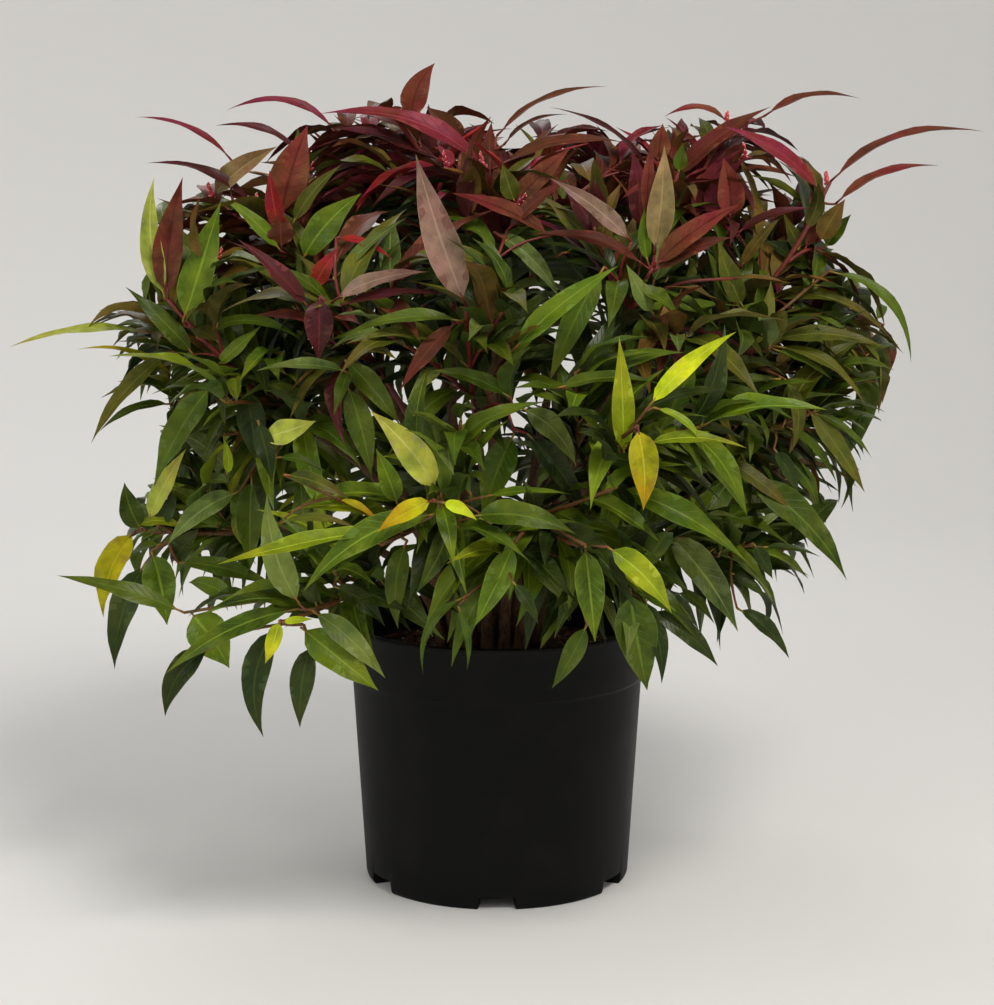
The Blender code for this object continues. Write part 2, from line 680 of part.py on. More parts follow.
def lathe(name, profile, sides):
    """A mesh turned round Z from a closed profile of radius and height.

    A profile point at radius zero is a single point on the axis.
    """
    work = bmesh.new()
    rings = []
    for radius, height in profile:
        if radius < 1e-9:
            rings.append([work.verts.new((0.0, 0.0, height))])
            continue
        turns = [2 * math.pi * side / sides for side in range(sides)]
        rings.append([work.verts.new((radius * math.cos(a), radius * math.sin(a), height)) for a in turns])
    for first, second in zip(rings, rings[1:] + rings[:1]):
        if len(first) == 1 and len(second) == 1:
            continue
        for side in range(sides):
            after = (side + 1) % sides
            corners = [first[side % len(first)], first[after % len(first)]]
            corners += [second[after % len(second)], second[side % len(second)]]
            work.faces.new(list(dict.fromkeys(corners)))
    bmesh.ops.recalc_face_normals(work, faces=work.faces)
    mesh = bpy.data.meshes.new(name)
    work.to_mesh(mesh)
    work.free()
    return mesh


def pot_wall_radius(height):
    """The outer radius of the pot's plain wall, which leans out evenly."""
    return POT_BAND_RADIUS - POT_GROOVE - POT_LEAN * (POT_BAND_LOW - height) / POT_BAND_LOW


def pot_profile():
    """The pot's section, up the outside and down the inside."""
    corner_at = pot_wall_radius(POT_CORNER)
    bend = [math.radians(angle) for angle in (-65, -35, -5)]
    corner = [
        (corner_at - POT_CORNER * 0.5 * (1 - math.cos(angle)), POT_CORNER * (1 + math.sin(angle))) for angle in bend
    ]
    outside = [
        (POT_FOOT_RADIUS, 0.0),
        *corner,
        (pot_wall_radius(POT_BAND_LOW - 2 * MM), POT_BAND_LOW - 2 * MM),
        (POT_BAND_RADIUS - POT_GROOVE, POT_BAND_LOW),
        (POT_BAND_RADIUS, POT_BAND_LOW + 1.6 * MM),
        (POT_BAND_RADIUS + 0.6 * MM, POT_HEIGHT - POT_LIP),
        (POT_RIM_RADIUS, POT_HEIGHT - POT_LIP + 0.8 * MM),
        (POT_RIM_RADIUS, POT_HEIGHT - 0.9 * MM),
        (POT_RIM_RADIUS - 0.9 * MM, POT_HEIGHT),
    ]
    inside = [
        (POT_BAND_RADIUS - POT_WALL, POT_HEIGHT),
        (POT_BAND_RADIUS - POT_GROOVE - POT_WALL, POT_BAND_LOW),
        (pot_wall_radius(POT_FLOOR + POT_FLOOR_THICK) - POT_WALL, POT_FLOOR + POT_FLOOR_THICK),
        (0.0, POT_FLOOR + POT_FLOOR_THICK),
        (0.0, POT_FLOOR),
        (POT_FOOT_RADIUS - FOOT_WIDTH, POT_FLOOR),
        (POT_FOOT_RADIUS - FOOT_WIDTH, 0.0),
    ]
    return outside + inside


def build_pot():
    """The pot: a turned shell with notches cut through its foot ring."""
    black = plain_material("black_plastic", (0.012, 0.012, 0.013), 0.45)
    pot = add_object("pot", lathe("pot", pot_profile(), POT_SIDES), black)
    cutters = new_collection("notches")
    inner = POT_FOOT_RADIUS - FOOT_WIDTH - 4 * MM
    outer = POT_FOOT_RADIUS + 12 * MM
    for index in range(NOTCH_COUNT):
        middle = -math.pi / 2 + 2 * math.pi * index / NOTCH_COUNT
        points = []
        for height in (-5 * MM, NOTCH_HEIGHT):
            for radius, side in ((inner, -1), (outer, -1), (outer, 1), (inner, 1)):
                angle = middle + side * NOTCH_ANGLE / 2
                points.append((radius * math.cos(angle), radius * math.sin(angle), height))
        faces = [(3, 2, 1, 0), (4, 5, 6, 7), (0, 1, 5, 4), (1, 2, 6, 5), (2, 3, 7, 6), (3, 0, 4, 7)]
        mesh = mesh_from(f"notch_{index}", points, faces)
        outward_mesh(mesh)
        cutter = add_object(f"notch_{index}", mesh, None, cutters)
        cutter.hide_render = True
        cutter.display_type = "WIRE"
    combine(pot, cutters, "DIFFERENCE")
    pot.data.shade_smooth()
    pot.data.set_sharp_from_angle(angle=math.radians(35))


def build_compost():
    """The compost, a touch domed, just clear of the pot all round."""
    brown = plain_material("compost", (0.050, 0.032, 0.020), 0.95)
    low = POT_FLOOR + POT_FLOOR_THICK + GAP
    high = COMPOST_EDGE
    clear = POT_WALL + 2.2 * GAP
    profile = [
        (0.0, low),
        (pot_wall_radius(low) - clear - GAP, low),
        (pot_wall_radius(POT_BAND_LOW) - clear, POT_BAND_LOW - 2 * MM),
        (pot_wall_radius(POT_BAND_LOW) - clear, high),
        (0.5 * (COMPOST_FLAT + POT_BAND_RADIUS), 0.5 * (COMPOST_EDGE + COMPOST_TOP) + 0.6 * MM),
        (COMPOST_FLAT, COMPOST_TOP),
        (0.0, COMPOST_TOP),
    ]
    add_object("compost", lathe("compost", profile, COMPOST_SIDES), brown)


def build_limb(mass):
    """One cane from the compost to where its foliage begins."""
    bark = plain_material("cane_bark", (0.105, 0.070, 0.038), 0.8)
    radii = np.linspace(CANE_RADIUS, CANE_TIP_RADIUS, len(mass.limb))
    points, faces = tube(mass.limb, radii, CANE_SIDES)
    for point in points[:CANE_SIDES]:
        point[2] = COMPOST_TOP + GAP
    mesh = mesh_from(f"bough_{mass.name}", points, faces)
    outward_mesh(mesh)
    mesh.shade_smooth()
    mesh.set_sharp_from_angle(angle=math.radians(80))
    add_object(f"bough_{mass.name}", mesh, bark)


def build_foliage(mass):
    """One mass of foliage: its stem, joined with its twigs and leaves into one body."""
    name = f"foliage_{mass.name}"
    tint = plain_material(name, mass.colour, 0.4)
    points, faces = tube(mass.stem, np.linspace(STEM_RADIUS, STEM_TIP_RADIUS, len(mass.stem)), 3)
    mesh = mesh_from(name, points, faces)
    outward_mesh(mesh)
    body = add_object(name, mesh, tint)
    pieces = new_collection(f"pieces_{mass.name}")
    for index, path in enumerate(mass.twigs):
        fine = np.concatenate([path[:1], path[:1] + (path[1] - path[0]) * 0.2, path[1:]])
        radii = np.linspace(TWIG_RADIUS, TWIG_TIP_RADIUS, len(fine))
        radii[0] = TWIG_ROOT_RADIUS
        mesh = mesh_from(f"{name}_twig_{index}", *tube(fine, radii, 3))
        outward_mesh(mesh)
        add_object(mesh.name, mesh, tint, pieces)
    for index, leaf in enumerate(mass.leaves):
        mesh = mesh_from(f"{name}_leaf_{index}", *leaf_shape(leaf))
        outward_mesh(mesh)
        add_object(mesh.name, mesh, tint, pieces)
    combine(body, pieces, "UNION")


def clear_scene():
    """Remove everything that is in the scene."""
    for item in list(bpy.data.objects):
        bpy.data.objects.remove(item, do_unlink=True)


def main():
    """Build the pot, its compost, the canes and the foliage."""
    clear_scene()
    build_pot()
    build_compost()
    for mass in grow_crown().masses:
        build_limb(mass)
        build_foliage(mass)


main()
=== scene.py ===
"""The looks of a potted leucothoe: a bushy evergreen shrub in a round black nursery pot.

Canes, twigs, leaves and buds are grown by the rule that the solids follow, and carried on from there
to finer twigs. The origin is the centre of the pot's underside, +Z is up and -Y is the front.
"""

import logging
import math
import random
from dataclasses import dataclass, field
from enum import Enum
from typing import Optional, Sequence, Union

import bpy
import numpy as np
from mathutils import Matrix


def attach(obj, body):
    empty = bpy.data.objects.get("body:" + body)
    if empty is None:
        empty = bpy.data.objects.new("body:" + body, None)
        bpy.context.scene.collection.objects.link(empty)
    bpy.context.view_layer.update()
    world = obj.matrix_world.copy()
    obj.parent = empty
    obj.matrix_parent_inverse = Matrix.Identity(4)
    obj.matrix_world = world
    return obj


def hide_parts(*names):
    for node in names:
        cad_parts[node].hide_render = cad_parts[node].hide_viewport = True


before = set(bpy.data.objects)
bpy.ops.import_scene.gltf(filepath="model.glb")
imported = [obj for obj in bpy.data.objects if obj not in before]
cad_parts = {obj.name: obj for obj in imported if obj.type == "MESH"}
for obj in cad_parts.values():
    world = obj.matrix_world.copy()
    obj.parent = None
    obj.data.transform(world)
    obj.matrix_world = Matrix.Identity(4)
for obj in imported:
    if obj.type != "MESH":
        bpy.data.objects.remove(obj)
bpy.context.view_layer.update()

LOG = logging.getLogger("leucothoe")
Array = np.ndarray
Colour = tuple[float, float, float]
Place = tuple[float, float, float]
Tree = bpy.types.NodeTree
Socket = bpy.types.NodeSocket
Input = Union[bpy.types.NodeSocket, float]
Material = bpy.types.Material
Piece = bpy.types.Object

CM = 0.01
MM = 0.001
GAP = 0.3 * MM
BODY = "root"
GOLDEN_ANGLE = math.radians(137.5)
FULL_TURN = 2 * math.pi
FAR_AWAY = 9.0
CANE_PULL = 0.42
CANE_LIFT = 0.10
EYE = (0.0, -1.673, 0.527)
UP = np.array([0.0, 0.0, 1.0])


class Tint(Enum):
    """The plain leaf colours, from a dark green that partly paints shade, through lime to the reds of new
    growth; the sage and the silvery rose partly paint the leaves' sheen in their colour.
    """

    DEEP = "deep_green"
    GREEN = "green"
    FRESH = "fresh_green"
    SAGE = "sage"
    LIME = "lime"
    CITRUS = "citrus"
    PALE = "pale_lime"
    AMBER = "amber"
    OLIVE = "olive"
    KHAKI = "khaki"
    BRONZE = "bronze"
    RUST = "rust"
    TAN = "tan"
    WINE = "wine"
    CRIMSON = "crimson"
    SCARLET = "scarlet"
    SILVER = "silver_rose"


DEEP, GREEN, FRESH, SAGE, LIME, CITRUS, PALE, AMBER, OLIVE = list(Tint)[:9]
KHAKI, BRONZE, RUST, TAN, WINE, CRIMSON, SCARLET, SILVER = list(Tint)[9:]


@dataclass(frozen=True)
class Blade:
    """A leaf at a shoot's tip, round which the others grow.

    The angle is in degrees in the front view, the length in centimetres, and lean and face in
    degrees towards the front.
    """

    angle: float
    length: float
    lean: float = 15.0
    face: float = 50.0


@dataclass(frozen=True)
class Seen:
    """A leaf that shows from the front: its root in centimetres, and its angle and length there.

    Width and bow are shares of the length, bow to the left on the way to the tip, and face is in
    degrees towards the front.
    """

    x: float
    z: float
    angle: float
    length: float
    tint: Tint
    width: float
    bow: float
    face: float = 60.0


@dataclass(frozen=True)
class Shoot:
    """The tip of a stem or side twig in centimetres, with the leaves that end it."""

    tip: Place
    blades: tuple[Blade, ...]


class Palette(Enum):
    """The tints that a spray's other leaves are dealt, as shares, from common to rare."""

    MEADOW = ((GREEN, 44), (FRESH, 24), (DEEP, 16), (SAGE, 8), (LIME, 8))
    SHADE = ((GREEN, 46), (DEEP, 34), (SAGE, 10), (FRESH, 10))
    MELLOW = ((GREEN, 38), (OLIVE, 30), (KHAKI, 10), (DEEP, 12), (SAGE, 10))
    RUSSET = ((OLIVE, 22), (GREEN, 20), (BRONZE, 20), (KHAKI, 16), (RUST, 10), (WINE, 8), (SAGE, 4))
    EMBER = ((BRONZE, 24), (WINE, 20), (RUST, 16), (CRIMSON, 12), (KHAKI, 14), (OLIVE, 10), (SCARLET, 4))


MEADOW, SHADE, MELLOW, RUSSET, EMBER = Palette


@dataclass(frozen=True)
class Spray:
    """One cane with its foliage: the first shoot ends the main stem, the others end side twigs."""

    name: str
    pitch: float
    palette: Palette
    shoots: tuple[Shoot, ...]


# Sprays that show from the front: name, pitch and palette, then for each shoot its tip in centimetres
# and its blades.
FRONT_ROWS = (
    ("low_left", 5, MEADOW,
     ((-25.2, -6.0, 26.6), (66, 6.0), (-5, 3.8, 35), (108, 4.4), (-111, 6.8)),
     ((-24.4, -7.0, 24.4), (-81, 6.0), (-108, 7.4, 5))),
    ("low_front_left", -8, MEADOW,
     ((-13.0, -20.0, 23.0), (-37, 6.8), (-114, 3.6, 40), (-151, 9.8), (-94, 6.6, 0)),
     ((-21.6, -12.0, 21.9), (161, 8.8, 5), (-46, 5.4, 30)),
     ((-11.6, -18.5, 24.4), (-43, 6.9, 30), (108, 7.3, 5, 75))),
    ("mid_front_left", 14, MEADOW,
     ((-3.8, -24.0, 31.7), (130, 7.2, 10, 75), (-147, 5.0, 35), (-167, 13.0, 8), (-24, 3.4, 40)),
     ((-2.2, -21.5, 30.6), (-4, 8.4, 20), (-147, 10.4, 22)),
     ((-6.6, -20.5, 31.4), (108, 5.4, 20), (-100, 6.4, 25))),
    ("low_front", -6, MEADOW,
     ((3.6, -25.5, 29.4), (-75, 7.2, 20), (-47, 6.6, 32), (-100, 6.4, 38)),
     ((-0.6, -23.0, 28.6), (-112, 6.8, 22), (-124, 6.2, 5))),
    ("low_front_right", -10, SHADE,
     ((8.4, -21.0, 25.2), (-65, 7.6, 22), (-41, 6.6, 25), (-118, 6.0, 20))),
    ("mid_front_right", 22, MEADOW,
     ((8.8, -24.0, 36.2), (42, 7.6, 15, 70), (-79, 5.6, 20, 75), (-3, 6.6, 20)),
     ((7.4, -21.5, 34.6), (89, 7.4, 8, 82), (-41, 5.0, 15)),
     ((7.8, -20.0, 32.0), (-30, 10.2, 18))),
    ("low_right", -4, SHADE,
     ((17.4, -10.0, 25.6), (-46, 8.4, 15), (-11, 5.4, 0), (-80, 6.4, 20)),
     ((12.0, -13.5, 27.4), (-53, 9.4, 18))),
    ("mid_right_low", 12, MELLOW,
     ((22.2, -4.0, 34.2), (-56, 8.0, 10), (-30, 6.4, 0), (-78, 6.0, 25)),
     ((18.0, -8.0, 30.6), (-49, 7.6, 20))),
    ("mid_right", 22, MELLOW,
     ((19.4, -6.0, 40.2), (0, 8.8, 5), (-33, 7.8, 10), (-70, 6.2, 30)),
     ((24.0, 1.0, 44.6), (-44, 9.6, 0), (-14, 7.6, 0), (20, 6.0, -10))),
    ("right_top", 66, RUSSET,
     ((24.0, 0.0, 50.8), (19, 11.2, 0, 35), (16, 8.2, 22, 35), (112, 4.6, 10)),
     ((22.8, 2.0, 46.6), (57, 4.6, 10, 70), (118, 4.6, 20, 70))),
    ("top_right", 62, EMBER,
     ((16.8, 3.0, 55.2), (10, 8.6, 0, 30), (-36, 8.8, 15, 40), (172, 5.2, 0, 30)),
     ((16.6, -2.0, 48.2), (102, 5.2, 5, 80), (140, 7.6, 10, 45))),
    ("upper_front_right", 54, RUSSET,
     ((10.3, -12.0, 45.6), (83, 10.0, 5, 82), (47, 6.8, 10, 60), (35, 7.0, 30, 60)),
     ((7.6, -14.0, 44.6), (-132, 8.8, 20, 62), (138, 7.2, 5, 60)),
     ((14.6, -9.0, 45.4), (59, 5.0, 10, 65), (-8, 7.0, 15))),
    ("upper_front", 62, MELLOW,
     ((-2.1, -18.0, 43.3), (107, 11.2, 6, 80), (-173, 8.0, 12, 45), (-132, 7.0, 25, 60)),
     ((1.4, -17.5, 36.4), (-112, 6.4, 20, 60), (-48, 6.4, 22), (150, 6.0, 18)),
     ((0.8, -11.0, 48.2), (-44, 6.6, 18, 60), (40, 5.6, 0, 60))),
    ("top_mid", 64, EMBER,
     ((-0.6, -5.0, 52.9), (25, 8.8, 0, 35), (162, 11.0, 0, 40), (16, 7.4, 25, 40)),
     ((-3.4, -7.0, 50.4), (-24, 7.8, 18, 50), (-158, 7.0, 20, 45)),
     ((9.0, 5.0, 52.4), (147, 8.6, 0, 40), (60, 5.0, 0, 60))),
    ("top_left", 66, EMBER,
     ((-6.3, 2.0, 55.5), (66, 4.6, 5, 75), (172, 9.6, 0, 35), (20, 5.0, 0, 60)),
     ((-12.6, 5.0, 54.2), (171, 8.6, 0, 35), (159, 8.0, 20, 40), (60, 3.8, 0))),
    ("upper_left_top", 52, RUSSET,
     ((-17.2, 0.0, 49.4), (153, 9.8, 0, 35), (160, 8.8, 20, 40), (70, 6.6, 10, 72)),
     ((-15.4, -4.0, 46.4), (140, 6.0, 20, 60), (96, 5.4, 10, 80), (44, 6.0, 10, 60))),
    ("upper_left", 58, MELLOW,
     ((-22.4, -8.0, 43.3), (83, 8.4, 8, 80), (98, 8.6, -12, 70), (69, 8.8, 24, 75)),
     ((-20.6, -7.0, 39.4), (130, 6.6, 20), (42, 5.4, 20))),
    ("mid_left", 20, MELLOW,
     ((-24.2, -2.0, 39.6), (180, 11.0, 0, 35), (167, 7.0, 20, 40), (-134, 9.8, 12)),
     ((-23.6, 2.0, 42.0), (-167, 6.4, 0), (150, 6.4, -15))),
    ("mid_left_front", 16, MEADOW,
     ((-19.2, -11.0, 37.4), (-122, 8.8, 15, 62), (-67, 6.8, 22, 62)),
     ((-12.8, -15.0, 34.8), (-154, 4.8, 20, 70), (-70, 6.4, 22)),
     ((-17.6, -10.0, 30.8), (-139, 6.8, 22), (-82, 6.6, 12))),
    ("upper_front_left", 48, RUSSET,
     ((-11.2, -15.0, 44.2), (16, 6.6, 18, 55), (-91, 4.8, 30, 80), (140, 7.4, 5, 50)),
     ((-11.8, -12.5, 46.8), (-18, 5.6, 20, 60), (55, 5.2, 5, 60)),
     ((-10.0, -16.0, 38.8), (-73, 7.4, 20, 62), (-49, 6.8, 25), (-170, 6.4, 15))),
)
FRONT_SPRAYS = tuple(
    Spray(name, pitch, palette, tuple(
        Shoot(tip, tuple(Blade(*blade) for blade in blades)) for tip, *blades in shoots
    ))
    for name, pitch, palette, *shoots in FRONT_ROWS
)

# The leaves that show from the front, by spray and by how far back they start in centimetres. Their
# widths and bows are in hundredths of their length, and the last number is left out where it is 60.
SEEN_ROWS = (
    ("low_left", -6.0,
     (-24.7, 27.4, 62, 6.0, PALE, 24, 2, 55), (-25.6, 27.0, -2, 3.6, LIME, 28, 13, 45),
     (-25.2, 26.8, 107, 3.6, GREEN, 48, 8), (-25.6, 26.7, -111, 6.5, AMBER, 32, -11),
     (-24.1, 27.0, 62, 3.1, DEEP, 40, -5), (-23.1, 24.5, 51, 3.2, DEEP, 50, 0)),
    ("low_left", -7.0,
     (-24.4, 25.4, -78, 5.3, FRESH, 44, 3), (-24.8, 24.6, -107, 7.8, DEEP, 26, -7),
     (-22.5, 24.6, -12, 7.1, GREEN, 20, 4, 50)),
    ("low_front_left", -20.0,
     (-12.0, 23.7, -42, 6.4, SAGE, 25, 2, 55), (-12.8, 22.6, -38, 6.5, FRESH, 36, 0),
     (-13.0, 23.8, -155, 9.4, FRESH, 15, -7), (-14.2, 22.8, -98, 7.4, DEEP, 25, -13),
     (-12.1, 21.5, -98, 5.5, DEEP, 30, -4), (-18.7, 21.2, -124, 5.3, DEEP, 32, -13),
     (-12.8, 24.1, 105, 7.6, SAGE, 25, 8, 75), (-10.6, 25.3, -37, 4.2, DEEP, 32, 8, 55)),
    ("low_front_left", -21.8,
     (-14.0, 23.4, -109, 2.9, CITRUS, 36, 3, 65), (-13.8, 23.3, 8, 2.0, CITRUS, 26, 2, 65)),
    ("low_front_left", -12.0,
     (-21.5, 22.0, 161, 8.9, GREEN, 16, -2, 50), (-21.0, 22.0, -55, 4.6, FRESH, 62, 2, 70)),
    ("mid_front_left", -24.0,
     (-3.8, 32.1, 128, 6.6, PALE, 30, -6, 75), (-3.7, 30.7, -151, 9.7, FRESH, 19, -10),
     (-6.6, 29.7, -170, 11.1, LIME, 12, 1, 35), (-1.6, 30.5, -8, 6.6, GREEN, 27, 8, 55)),
    ("mid_front_left", -25.8,
     (-4.0, 31.8, -151, 3.9, AMBER, 32, -5, 70), (-3.4, 31.7, -26, 2.4, CITRUS, 34, 5, 65)),
    ("mid_front_left", -21.5,
     (0.0, 29.1, 2, 7.2, FRESH, 12, 4, 45), (-0.8, 31.4, 4, 5.6, FRESH, 13, 3, 40)),
    ("mid_front_left", -20.5,
     (-6.4, 30.8, 110, 3.9, FRESH, 36, 0, 65), (-5.8, 28.4, -96, 5.7, GREEN, 26, -9),
     (-13.7, 32.7, -19, 4.5, OLIVE, 22, 5, 55), (-10.3, 31.1, -30, 3.3, AMBER, 15, 10, 50),
     (-14.1, 29.5, -2, 5.3, OLIVE, 12, 8, 45)),
    ("low_front", -25.5,
     (5.5, 28.9, -84, 6.0, FRESH, 31, 0, 65), (6.9, 28.8, -45, 5.7, LIME, 31, 6),
     (1.0, 26.6, -59, 3.1, DEEP, 27, 5)),
    ("low_front", -23.0,
     (1.1, 28.7, -116, 5.9, FRESH, 29, 2, 65), (-2.0, 25.2, -119, 5.6, GREEN, 10, -20),
     (-2.5, 24.6, -82, 4.1, GREEN, 12, 8)),
    ("low_front_right", -21.0,
     (8.6, 25.2, -80, 6.5, GREEN, 42, -2, 65), (10.0, 24.0, -40, 5.6, DEEP, 26, 4, 55),
     (9.5, 24.7, -78, 5.6, DEEP, 22, 6, 55), (5.8, 23.0, -119, 4.7, GREEN, 29, 4)),
    ("mid_front_right", -24.0,
     (9.5, 37.5, 42, 7.1, CITRUS, 17, 4, 72), (8.8, 36.2, -86, 5.2, AMBER, 36, 3, 80),
     (9.3, 35.1, -1, 6.3, LIME, 15, 6, 50), (9.8, 37.4, -41, 4.3, LIME, 13, 13, 50)),
    ("mid_front_right", -21.5,
     (8.1, 34.0, 93, 7.7, LIME, 19, 0, 82)),
    ("mid_front_right", -20.0,
     (7.6, 31.8, -28, 9.6, FRESH, 19, 4), (3.8, 38.2, 4, 6.7, GREEN, 16, 5, 45)),
    ("low_right", -10.0,
     (16.2, 24.4, -35, 3.1, DEEP, 28, 5, 55), (18.4, 26.2, -8, 4.0, DEEP, 15, 5, 40),
     (17.8, 26.4, -61, 2.7, DEEP, 40, 0, 55), (16.7, 21.9, -43, 5.0, DEEP, 24, 5, 50)),
    ("low_right", -13.5,
     (11.5, 27.8, -54, 8.2, SAGE, 28, 3)),
    ("mid_right_low", -4.0,
     (22.1, 35.2, -55, 7.2, OLIVE, 20, 0, 55), (22.5, 34.9, -37, 5.3, GREEN, 13, 8, 45),
     (20.8, 31.5, -59, 4.2, GREEN, 27, 10, 55), (20.7, 33.9, -48, 5.3, GREEN, 13, 8, 50)),
    ("mid_right_low", -8.0,
     (17.1, 30.9, -44, 10.2, GREEN, 22, 6, 58), (15.4, 32.2, -36, 6.4, OLIVE, 20, 5, 50),
     (19.3, 32.8, -62, 3.7, DEEP, 30, 5, 55)),
    ("mid_right", -6.0,
     (19.2, 40.2, -2, 7.8, OLIVE, 17, 7, 50), (19.5, 39.8, -33, 7.6, OLIVE, 13, 11, 45),
     (19.4, 39.6, -27, 4.6, GREEN, 13, 3, 45), (20.2, 37.5, -85, 5.1, OLIVE, 20, 15),
     (17.2, 42.5, 111, 5.3, OLIVE, 29, 2, 70), (16.9, 42.6, 120, 4.7, GREEN, 22, 3, 65),
     (12.1, 36.9, -13, 9.0, GREEN, 16, 5, 45), (19.9, 37.5, -179, 5.6, SAGE, 14, 0, 40)),
    ("mid_right", 1.0,
     (24.1, 44.7, -47, 8.9, GREEN, 10, 17, 45), (18.4, 42.2, -15, 11.1, OLIVE, 11, 17, 45)),
    ("right_top", 0.0,
     (24.0, 51.2, 20, 11.2, RUST, 10, 9, 30), (24.4, 49.6, 22, 7.7, RUST, 12, 9, 40),
     (23.2, 50.5, 146, 8.4, CRIMSON, 15, -7), (23.3, 46.9, 61, 3.5, KHAKI, 45, 2, 65)),
    ("right_top", 2.0,
     (24.0, 46.4, 54, 3.0, GREEN, 40, 0), (22.5, 49.5, 153, 5.0, OLIVE, 16, -5, 50),
     (23.0, 45.2, 120, 4.4, OLIVE, 28, 3, 65), (23.0, 44.8, 149, 4.2, DEEP, 38, 0)),
    ("top_right", 3.0,
     (19.5, 55.9, 11, 7.0, RUST, 12, 9, 40), (16.9, 55.4, 174, 4.8, RUST, 14, -16, 40),
     (12.9, 51.3, 38, 8.7, BRONZE, 17, 2, 55)),
    ("top_right", -2.0,
     (16.6, 48.6, 98, 4.4, RUST, 45, -4, 75), (17.4, 45.1, 53, 4.7, KHAKI, 18, 4),
     (17.1, 47.5, 20, 5.6, WINE, 14, 8, 50), (12.9, 51.9, 83, 2.0, GREEN, 50, 0, 70),
     (11.4, 52.7, 83, 2.6, RUST, 60, 0, 75)),
    ("upper_front_right", -12.0,
     (10.6, 46.6, 86, 7.1, TAN, 26, 0, 80), (10.5, 45.6, 37, 7.1, RUST, 22, 3),
     (10.5, 45.3, 25, 5.7, BRONZE, 22, 4, 55), (10.1, 48.8, 87, 5.3, RUST, 18, 2, 70),
     (11.3, 51.4, -158, 3.3, RUST, 18, -5), (10.1, 46.0, 94, 3.6, FRESH, 24, 3, 75),
     (9.9, 45.7, 164, 7.9, BRONZE, 13, -8, 50)),
    ("upper_front_right", -14.0,
     (8.9, 47.4, 142, 6.8, SILVER, 19, -3, 65), (10.4, 42.6, 119, 3.8, SAGE, 33, 3, 65),
     (7.1, 45.7, -116, 8.4, GREEN, 22, -3, 62)),
    ("upper_front_right", -9.0,
     (16.2, 44.7, -4, 3.8, KHAKI, 11, 4, 45), (9.8, 48.0, 97, 5.5, WINE, 30, -3, 75)),
    ("upper_front", -18.0,
     (-2.0, 43.4, 108, 10.2, SILVER, 23, 3, 80), (-2.2, 42.4, -174, 7.9, GREEN, 13, -5, 45),
     (-2.7, 42.3, -130, 5.6, BRONZE, 22, -3)),
    ("upper_front", -17.5,
     (1.1, 35.0, -112, 5.7, GREEN, 37, 0, 62), (1.6, 36.7, -46, 5.2, SAGE, 32, 8),
     (2.0, 35.0, -54, 6.4, DEEP, 26, 3, 58), (0.8, 37.4, 160, 5.4, GREEN, 21, -5, 55),
     (1.0, 40.4, 40, 8.8, FRESH, 17, 3, 62)),
    ("upper_front", -11.0,
     (-0.2, 47.9, -45, 6.3, SAGE, 20, 8), (0.7, 48.0, 40, 5.6, BRONZE, 18, 4, 55),
     (3.6, 47.7, 156, 7.3, RUST, 17, -2, 50)),
    ("top_mid", -5.0,
     (0.0, 54.4, 24, 8.3, BRONZE, 9, 8, 35), (0.5, 53.8, 26, 4.9, BRONZE, 10, 9, 40),
     (-0.6, 52.0, 161, 12.3, CRIMSON, 13, -10, 50), (0.2, 52.3, 12, 8.6, BRONZE, 12, 8, 45)),
    ("top_mid", -7.0,
     (1.3, 49.9, 45, 5.2, RUST, 29, 0, 65), (1.2, 49.9, 108, 2.7, OLIVE, 50, 0, 70)),
    ("top_mid", 5.0,
     (11.3, 52.0, 148, 8.8, WINE, 9, -7, 35), (6.8, 50.5, 111, 1.4, CRIMSON, 55, 0, 75),
     (6.9, 50.5, 63, 1.6, CRIMSON, 55, 0, 75)),
    ("top_left", 2.0,
     (-6.2, 55.6, 67, 4.4, RUST, 44, 9, 78), (-4.0, 52.6, 162, 8.3, WINE, 16, -4, 45),
     (-2.5, 53.9, 134, 3.7, BRONZE, 48, 0, 75)),
    ("top_left", 5.0,
     (-11.8, 54.8, 168, 8.2, CRIMSON, 10, -13, 40), (-14.6, 53.2, 161, 6.4, WINE, 12, -9, 40)),
    ("upper_left_top", 0.0,
     (-15.6, 48.8, 72, 6.7, RUST, 43, 0, 75), (-19.0, 52.6, 154, 7.5, CRIMSON, 8, -10, 40),
     (-17.4, 49.3, 156, 8.3, WINE, 11, -11, 45), (-20.5, 50.1, 37, 6.0, TAN, 27, 3, 65)),
    ("upper_left_top", -4.0,
     (-15.3, 46.4, 136, 5.5, FRESH, 20, -5), (-15.2, 47.6, 99, 4.5, SCARLET, 28, 3, 80),
     (-15.2, 46.7, 90, 2.5, BRONZE, 75, 0, 75), (-13.8, 45.7, 48, 6.4, FRESH, 35, 3, 65),
     (-14.4, 48.2, 50, 5.5, OLIVE, 20, 6, 65)),
    ("upper_left", -8.0,
     (-22.7, 43.2, 81, 8.5, RUST, 24, 5, 80), (-22.9, 43.3, 93, 8.3, PALE, 19, 6, 80),
     (-21.7, 41.7, 71, 8.8, FRESH, 27, 0, 75)),
    ("upper_left", -7.0,
     (-21.1, 39.3, 133, 6.6, GREEN, 22, 0), (-19.6, 38.5, 42, 4.4, FRESH, 24, 0),
     (-20.9, 40.5, -4, 8.1, GREEN, 12, 16, 50)),
    ("mid_left", -2.0,
     (-24.8, 40.5, -176, 10.0, PALE, 10, -3, 30), (-24.5, 41.7, -168, 5.1, KHAKI, 17, -20, 50),
     (-23.5, 39.1, -131, 8.6, OLIVE, 15, -5, 55)),
    ("mid_left", 2.0,
     (-23.4, 36.4, 160, 7.9, AMBER, 8, -11, 45), (-24.0, 34.9, -160, 5.7, GREEN, 14, -8, 45)),
    ("mid_left_front", -11.0,
     (-19.4, 37.6, -120, 8.0, GREEN, 25, -3, 62), (-17.0, 37.4, -82, 5.4, DEEP, 36, 0, 62),
     (-18.5, 31.4, 94, 2.7, LIME, 25, -8)),
